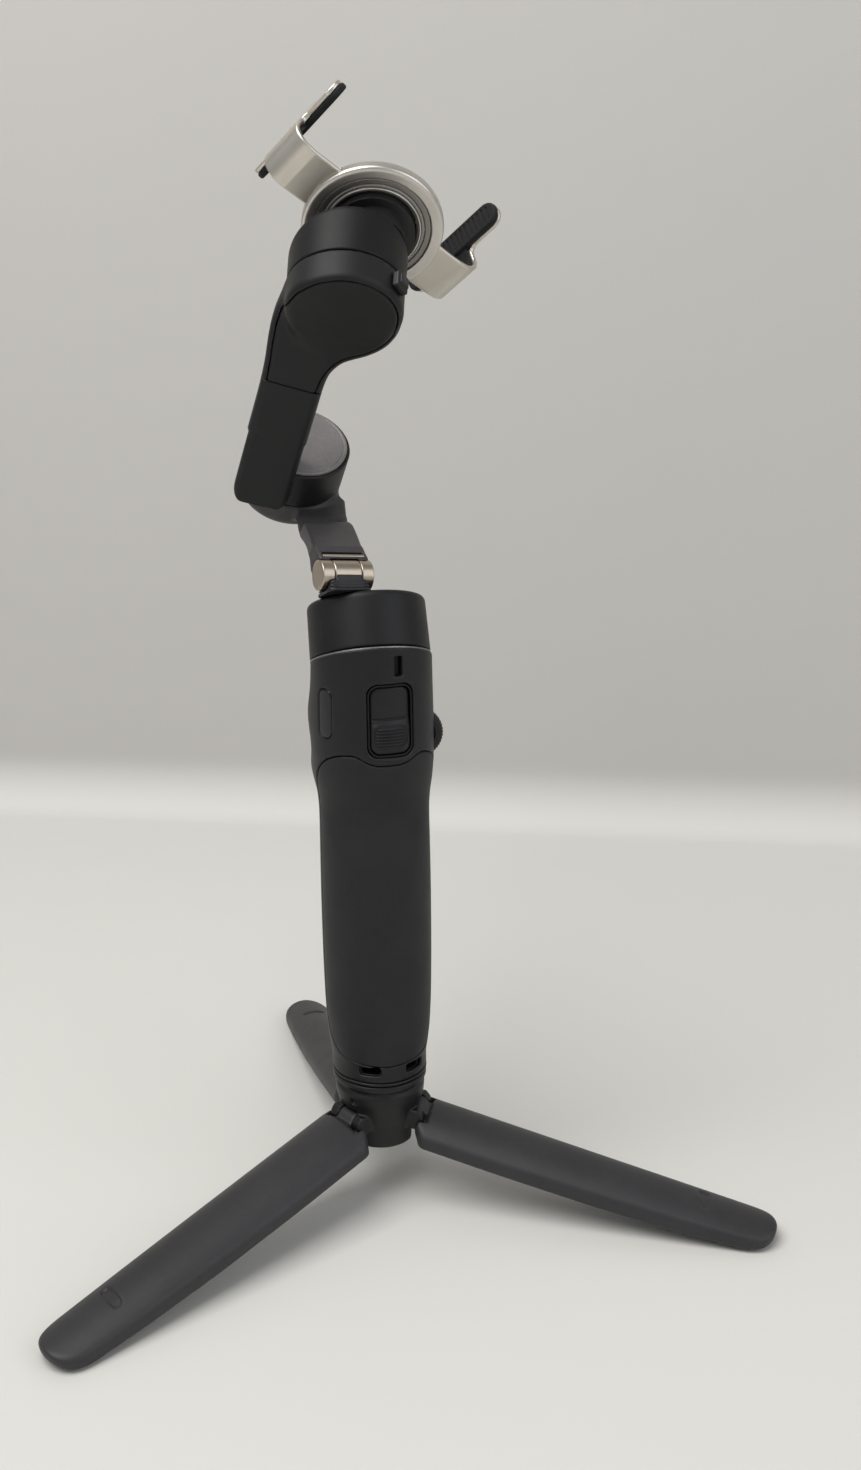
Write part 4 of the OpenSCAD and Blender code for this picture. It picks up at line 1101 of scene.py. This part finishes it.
piece("clamp_ring_body", "clamp", clamp_ring, *column(23.2, -0.5, 5.1), 0.34,
      "clamp_aluminium", CLAMP, cad="clamp_body")
piece("clamp_back_plate", "clamp", clamp_plate, *column(15.4, -0.3, 1.5), 0.24,
      "clamp_grey_plate", CLAMP, cad="clamp_back")
piece("clamp_back_liner", "clamp", clamp_liner, *column(19.2, 0.1, 1.5), 0.24,
      "clamp_grey_liner", CLAMP, slot="clamp_back")
piece("clamp_front_pad", "clamp", clamp_pad, *column(20.2, 4.3, 5.9), 0.26,
      "pad_rubber", CLAMP, cad="clamp_pad")

# jaws: a flat band that bends up into a leaning bar; jaw b mirrors jaw a in x
BAR_X, BAR_Z, BAR_Y = 35.0, 16.0, -3.4
BAR_LEAN = math.radians(16.5)
# the bend: x, z
JAW_BEND = np.array([[30.5, 2.45], [34.2, 3.4], [37.0, 6.0], [37.9, 9.4], [37.2, 12.8],
                     [35.8, 15.8], [33.9, 22.0]])
JAW_PATH = np.vstack([[[9.0, 2.45], [24.0, 2.45]], smooth_curve(JAW_BEND, 12)])


def lean(x, z):
    """coordinates across and up the leaning bar"""
    cosine, sine = math.cos(BAR_LEAN), math.sin(BAR_LEAN)
    return (cosine * (x - BAR_X) + sine * (z - BAR_Z),
            -sine * (x - BAR_X) + cosine * (z - BAR_Z))


def jaw_band(side):
    def field(points):
        x, y, z = points[:, 0] * side, points[:, 1], points[:, 2]
        # the band widens where it turns up into the bar
        half = BAND_WIDTH / 2 + 3.0 * np.clip((z - 12.5) / 6.0, 0, 1) ** 2
        band = meet(open_path(x, z, JAW_PATH) - 0.8, 8.9 - x, 0.3)
        band = meet(band, np.abs(y - BAND_Y) - half, 0.7)
        across, up = lean(x, z)
        bar = extrude(box2(y - BAR_Y, up - 3.4, 41, 8.8, 4.3), across, 0.0, 1.5, 0.5)
        body = join(band, bar, 1.8)
        # flat seat for the pad
        body = np.where(z > 14.5, meet(body, -across, 0.15), body)
        return cut(body, meet(np.hypot(x - 16, y) - 1.6, z - 6, 0.1), 0.2)
    return field


def jaw_pad(side):
    def field(points):
        x, y, z = points[:, 0] * side, points[:, 1], points[:, 2]
        across, up = lean(x, z)
        outline = box2(y - BAR_Y, up - 3.4, 41.6, 9.3, 4.6)
        body = extrude(outline, across, -2.3, -0.03, 0.8)
        grooves = np.abs((y / 2.0) % 1.0 - 0.5) * 2.0 - 0.3
        grooves = meet(meet(grooves, outline + 1.5, 0.2), across + 1.8, 0.1)
        body = cut(body, grooves, 0.25)
        # dark tongue lining the inside of the bend: a dark sheet put there as painted shade
        off = open_path(x, z, JAW_PATH)
        bend_x = np.interp(z, JAW_BEND[1:, 1], JAW_BEND[1:, 0])
        shade_tongue = meet(meet(off - 2.0, 0.84 - off, 0.1), x - bend_x, 0.1)
        shade_tongue = meet(meet(shade_tongue, slab(z, 6.0, 16.5), 0.3), np.abs(y - BAND_Y) - 7.3, 0.4)
        return join(body, shade_tongue, 0.4)
    return field


# field, name ending, x, y and z ranges for jaw a, grid step, material, CAD name ending
JAW_PARTS = (
    (jaw_band, "band", (8.2, 39.6), (-24.8, 18.0), (0.9, 25), 0.33, "jaw_aluminium", ""),
    (jaw_pad, "grip_pad", (28.4, 38), (-25, 18.2), (5.2, 25.5), 0.28, "pad_rubber", "_pad"))
for make_field, ending, x_range, y_range, z_range, step, material, cad_ending in JAW_PARTS:
    for jaw, side in (("jaw_a", 1), ("jaw_b", -1)):
        x_low, x_high = sorted((side * x_range[0], side * x_range[1]))
        piece(f"{jaw}_{ending}", jaw, make_field(side), (x_low, y_range[0], z_range[0]),
              (x_high, y_range[1], z_range[1]), step, material, CLAMP, cad=jaw + cad_ending)

# ---------------------------------------------------------------- stand
HUB_HEIGHTS = [18, 21, 27, 31, 35, 37.6, 38.4, 38.9, 39.5, 40.2, 40.6, 43]
HUB_RADII = [11.7, 11.95, 12.5, 13.6, 14.7, 14.95, 14.7, 14.3, 14.3, 14.9, 15.6, 15.6]
# leg half width by distance from the pin
LEG_STATIONS = [4, 30, 60, 90, 110, 117]
LEG_HALF_WIDTHS = [12.1, 11.9, 11.2, 10.2, 9.2, 9.0]
LEG_ARC_Z = -13.0    # centre of the leg's arched section


def stand_hub(points):
    x, y, z = points.T
    radius = np.hypot(x, y)
    wall = np.interp(z, HUB_HEIGHTS, HUB_RADII)
    body = meet(meet(radius - wall, 19.2 - z, 1.6), z - 42.5, 0.7)
    for heading in LEG_HEADINGS:
        angle = math.radians(heading)
        out = x * math.cos(angle) + y * math.sin(angle)
        side = -x * math.sin(angle) + y * math.cos(angle)
        from_pin = np.hypot(out - PIN_CIRCLE, z - PIN_Z)
        # ears round the pin, a gap between them for the leg, and the pin hole
        block = box3(np.stack([out, side, z], 1), (10.6, 0, PIN_Z + 0.3),
                     (8.4, 14.4, 6.0), 0.7)
        ear = join(extrude(from_pin - 3.2, side, -7.2, 7.2, 0.6), block, 0.4)
        body = join(body, ear, 0.8)
        gap = meet(meet(8.4 - out, np.abs(side) - 3.6, 0.2), slab(z, 10, PIN_Z + 4.2), 0.2)
        body = cut(body, gap, 0.25)
        hole = meet(from_pin - 1.5, np.abs(side) - 6.6, 0.1)
        body = meet(body, -hole - 100 * (out < 0), 0.1)
    body = cut(body, meet(radius - 9, z - 20.3, 0.2), 0.3)
    body = cut(body, meet(radius - 3.1, 28 - z, 0.1), 0.15)
    body = cut(body, meet(radius - 6.2, slab(z, 32, 36.5), 0.1), 0.15)
    # small blind hole on the front -X flank
    dot = np.hypot(turn(x, y, -138) * 14.9, z - 35.6) - 0.95
    return cut(body, np.maximum(dot, 13.8 - radius), 0.15)


def leg_blade(points):
    x, y, z = points.T
    radius = np.hypot(y, z - LEG_ARC_Z)
    sheet = ring(radius, 14.3, 1.7)
    half = np.interp(x, LEG_STATIONS, LEG_HALF_WIDTHS)
    plan = meet(np.abs(y) - half, x - LEG_LENGTH, 9.5)
    # chamfered corners at the pin end
    plan = meet(plan, np.interp(np.abs(y), [7.4, 8.1], [4.2, 0.6]) - x, 0.5)
    plan = meet(plan, (np.abs(y) - x * 1.1 - 7.4) * 0.7, 1.2)
    body = meet(meet(sheet, plan, 1.3), -5.8 - z, 0.6)
    # trimmed level just above the floor
    floor_height = PIN_Z - x * math.sin(LEG_SLOPE) + z * math.cos(LEG_SLOPE)
    body = meet(body, 1.2 - floor_height, 0.4)
    # knuckle, web and two ribs
    knuckle = extrude(np.hypot(x, z) - 3.1, y, -3.45, 3.45, 0.4)
    web = box3(points, (5.0, 0, -0.4), (9.4, 6.9, 4.2), 0.5)
    body = join(body, join(knuckle, web, 0.6), 1.0)
    for side in (-1, 1):
        rib = box3(points, (19, side * 2.85, -1.2), (24, 1.2, 2.8), 0.3)
        body = join(body, rib, 0.6)
    body = cut(body, np.hypot(x, z) - 1.56, 0.1)
    # shallow recess near the tip
    return cut(body, cut(box2(x - 94, y, 3.2, 8.6, 1.5), radius - 15.45, 0.2), 0.35)


def foot_pad(centre_x, centre_y, frame):
    """upright round foot, its top fitted under the leg's arch"""
    def field(points):
        radius = np.hypot(points[:, 0] - centre_x, points[:, 1] - centre_y)
        z = points[:, 2]
        body = extrude(radius - 5.2, z, 0.0, 9.0, 0.9)
        local = to_local(points, frame)
        body = meet(body, np.hypot(local[:, 1], local[:, 2] - LEG_ARC_Z) - 12.52, 0.3)
        return cut(body, meet(ring(radius, 2.8, 0.5), z - 0.5, 0.1), 0.2)
    return field


piece("stand_hub_body", "grip", stand_hub, *column(18.2, 18.6, 43.2), 0.42,
      "hub_plastic", cad="stand_hub")
FOOT_CIRCLE = PIN_CIRCLE + (LEG_LENGTH - 12) * math.cos(LEG_SLOPE)
for letter, heading in zip("abc", LEG_HEADINGS):
    frame = leg_frame(heading)
    foot_x = FOOT_CIRCLE * math.cos(math.radians(heading))
    foot_y = FOOT_CIRCLE * math.sin(math.radians(heading))
    leg = f"leg_{letter}"
    piece(f"{leg}_blade", leg, leg_blade, (-3.6, -13, -6.5), (117.6, 13, 3.9), 0.5,
          "leg_plastic", frame, cad=leg)
    piece(f"foot_{letter}_pad", leg, foot_pad(foot_x, foot_y, frame),
          (foot_x - 6.6, foot_y - 6.6, -0.5), (foot_x + 6.6, foot_y + 6.6, 7.5), 0.3,
          "pad_rubber", cad=f"foot_{letter}")

# ---------------------------------------------------------------- CAD nodes that stay
KEPT_NODES = {
    "battery_sleeve": ["battery"],
    "circuit_board": ["main_board"],
    "ground_steel": ["charge_port", "dial_axle", "fold_pin", "stand_screw"],
    "black_plastic_cad": ["stick_ring", "mount_rotor"],
    "rod_aluminium": ["guide_tube", "rod_a", "rod_b", "rod_c"],
    "seam_dark_satin": ["pan_base"],
    "copper_winding": ["pan_stator", "mid_stator", "last_stator"],
    "nickel_plate": ["pan_bearing", "pan_magnets", "mid_bearing", "mid_magnets",
                     "mount_magnets"],
    "pin_black_oxide": ["leg_pins"],
}
for material, nodes in KEPT_NODES.items():
    for node in nodes:
        slots = loaded["nodes"][node].data.materials
        if len(slots) == 0:
            slots.append(MATERIALS[material])
        for i in range(len(slots)):
            slots[i] = MATERIALS[material]

# ---------------------------------------------------------------- floor and backdrop (metres)
WALL_EDGE = 0.352       # where the floor starts to curve up
COVE_RADIUS = 0.03
COVE_STEPS = 16
FLOOR_FRONT, WALL_TOP, FLOOR_HALF = -2.5, 3.2, 3.5
FLOOR_DROP = 0.00002    # keeps the floor just below the feet
FLOOR_YAW = math.radians(19.5)


def floor_paper():
    sh = Shader("floor_paper")
    split = sh.node("ShaderNodeSeparateXYZ")
    sh.feed(split.inputs[0], sh.place)
    # floor tone turns to a darker wall tone up the cove: painted shade on the upright wall
    wall_shade = sh.ramp(split.outputs[2], low=0.004, high=0.034)
    tone = sh.mix(wall_shade, srgb(217, 216, 211), srgb(189, 187, 183))
    clouds = sh.ramp(sh.noise(scale=3.0, detail=4, rough=0.6), low=0.3, high=0.7)
    tone = sh.mix(clouds, sh.mix(1.0, tone, (0.98, 0.98, 0.98, 1), "MULTIPLY"), tone)
    sh.surface("Base Color", tone)
    sh.surface("Roughness", 0.8)
    sh.surface("Specular IOR Level", 0.2)
    fine = sh.noise(scale=900, detail=2, rough=0.5)
    sh.surface("Normal", sh.bump(fine, strength=0.05, distance=0.0001))
    return sh.material


def floor_sweep():
    """floor, small cove and wall in one strip"""
    profile = [(FLOOR_FRONT, 0.0), (WALL_EDGE, 0.0)]
    for k in range(1, COVE_STEPS + 1):
        angle = k / COVE_STEPS * math.pi / 2
        profile.append((WALL_EDGE + COVE_RADIUS * math.sin(angle),
                        COVE_RADIUS * (1 - math.cos(angle))))
    profile.append((WALL_EDGE + COVE_RADIUS, WALL_TOP))
    verts = []
    for depth, z in profile:
        for side in (-FLOOR_HALF, FLOOR_HALF):
            verts.append((side * math.cos(FLOOR_YAW) + depth * math.sin(FLOOR_YAW),
                          -side * math.sin(FLOOR_YAW) + depth * math.cos(FLOOR_YAW),
                          z - FLOOR_DROP))
    faces = [(2 * k, 2 * k + 1, 2 * k + 3, 2 * k + 2) for k in range(len(profile) - 1)]
    mesh = bpy.data.meshes.new("floor_sweep")
    mesh.from_pydata(verts, [], faces)
    mesh.shade_smooth()
    floor = bpy.data.objects.new("floor_sweep", mesh)
    bpy.context.scene.collection.objects.link(floor)
    floor.data.materials.append(floor_paper())


floor_sweep()

# ---------------------------------------------------------------- light (metres, watts)
world = bpy.data.worlds.new("studio")
bpy.context.scene.world = world
world.use_nodes = True
background = world.node_tree.nodes["Background"]
background.inputs["Color"].default_value = (0.93, 0.95, 1.0, 1)
background.inputs["Strength"].default_value = 0.40


def area_light(name, place, target, size, power, colour):
    light = bpy.data.lights.new(name, "AREA")
    light.energy = power
    light.color = colour
    light.size = size
    obj = bpy.data.objects.new(name, light)
    obj.location = place
    aim = Vector(target) - Vector(place)
    obj.rotation_euler = aim.to_track_quat("-Z", "Y").to_euler()
    bpy.context.scene.collection.objects.link(obj)


area_light("key_soft", place=(-0.55, -0.35, 1.25), target=(0, 0, 0.12), size=1.0,
           power=15.0, colour=(1, 0.985, 0.96))
area_light("fill_soft", place=(0.9, -0.9, 0.7), target=(0, 0, 0.2), size=1.1,
           power=5.0, colour=(0.95, 0.97, 1))
area_light("rim_soft", place=(0.5, 0.75, 0.9), target=(0, 0, 0.2), size=0.7,
           power=5.0, colour=(1, 1, 1))

# ---------------------------------------------------------------- camera
CAMERA_DISTANCE = 421.3                # level distance from the grip's axis
CAMERA_HEIGHT = 269.9
CAMERA_HEADING = math.radians(10.56)   # round from -Y towards -X
CAMERA_YAW = math.radians(-1.58)       # off the line to the axis
CAMERA_PITCH = math.radians(-6.27)
CAMERA_ROLL = math.radians(-1.37)


def add_camera():
    place = np.array([-CAMERA_DISTANCE * math.sin(CAMERA_HEADING),
                      -CAMERA_DISTANCE * math.cos(CAMERA_HEADING), CAMERA_HEIGHT]) / 1000
    yaw = CAMERA_HEADING + CAMERA_YAW
    ahead = np.array([math.sin(yaw) * math.cos(CAMERA_PITCH),
                      math.cos(yaw) * math.cos(CAMERA_PITCH), math.sin(CAMERA_PITCH)])
    level = np.array([math.cos(yaw), -math.sin(yaw), 0])
    upright = np.cross(level, ahead)
    right = level * math.cos(CAMERA_ROLL) + upright * math.sin(CAMERA_ROLL)
    up = -level * math.sin(CAMERA_ROLL) + upright * math.cos(CAMERA_ROLL)
    camera = bpy.data.cameras.new("camera")
    camera.sensor_fit = "AUTO"
    camera.sensor_width = 36
    camera.lens = 32.2616327
    camera.shift_x = 0.06679591837
    camera.shift_y = -0.1393809524
    camera.clip_start = 0.01
    obj = bpy.data.objects.new("camera", camera)
    rows = [(right[i], up[i], -ahead[i], place[i]) for i in range(3)]
    obj.matrix_world = Matrix((*rows, (0, 0, 0, 1)))
    bpy.context.scene.collection.objects.link(obj)
    bpy.context.scene.camera = obj


add_camera()
bpy.context.scene.view_settings.view_transform = "Standard"
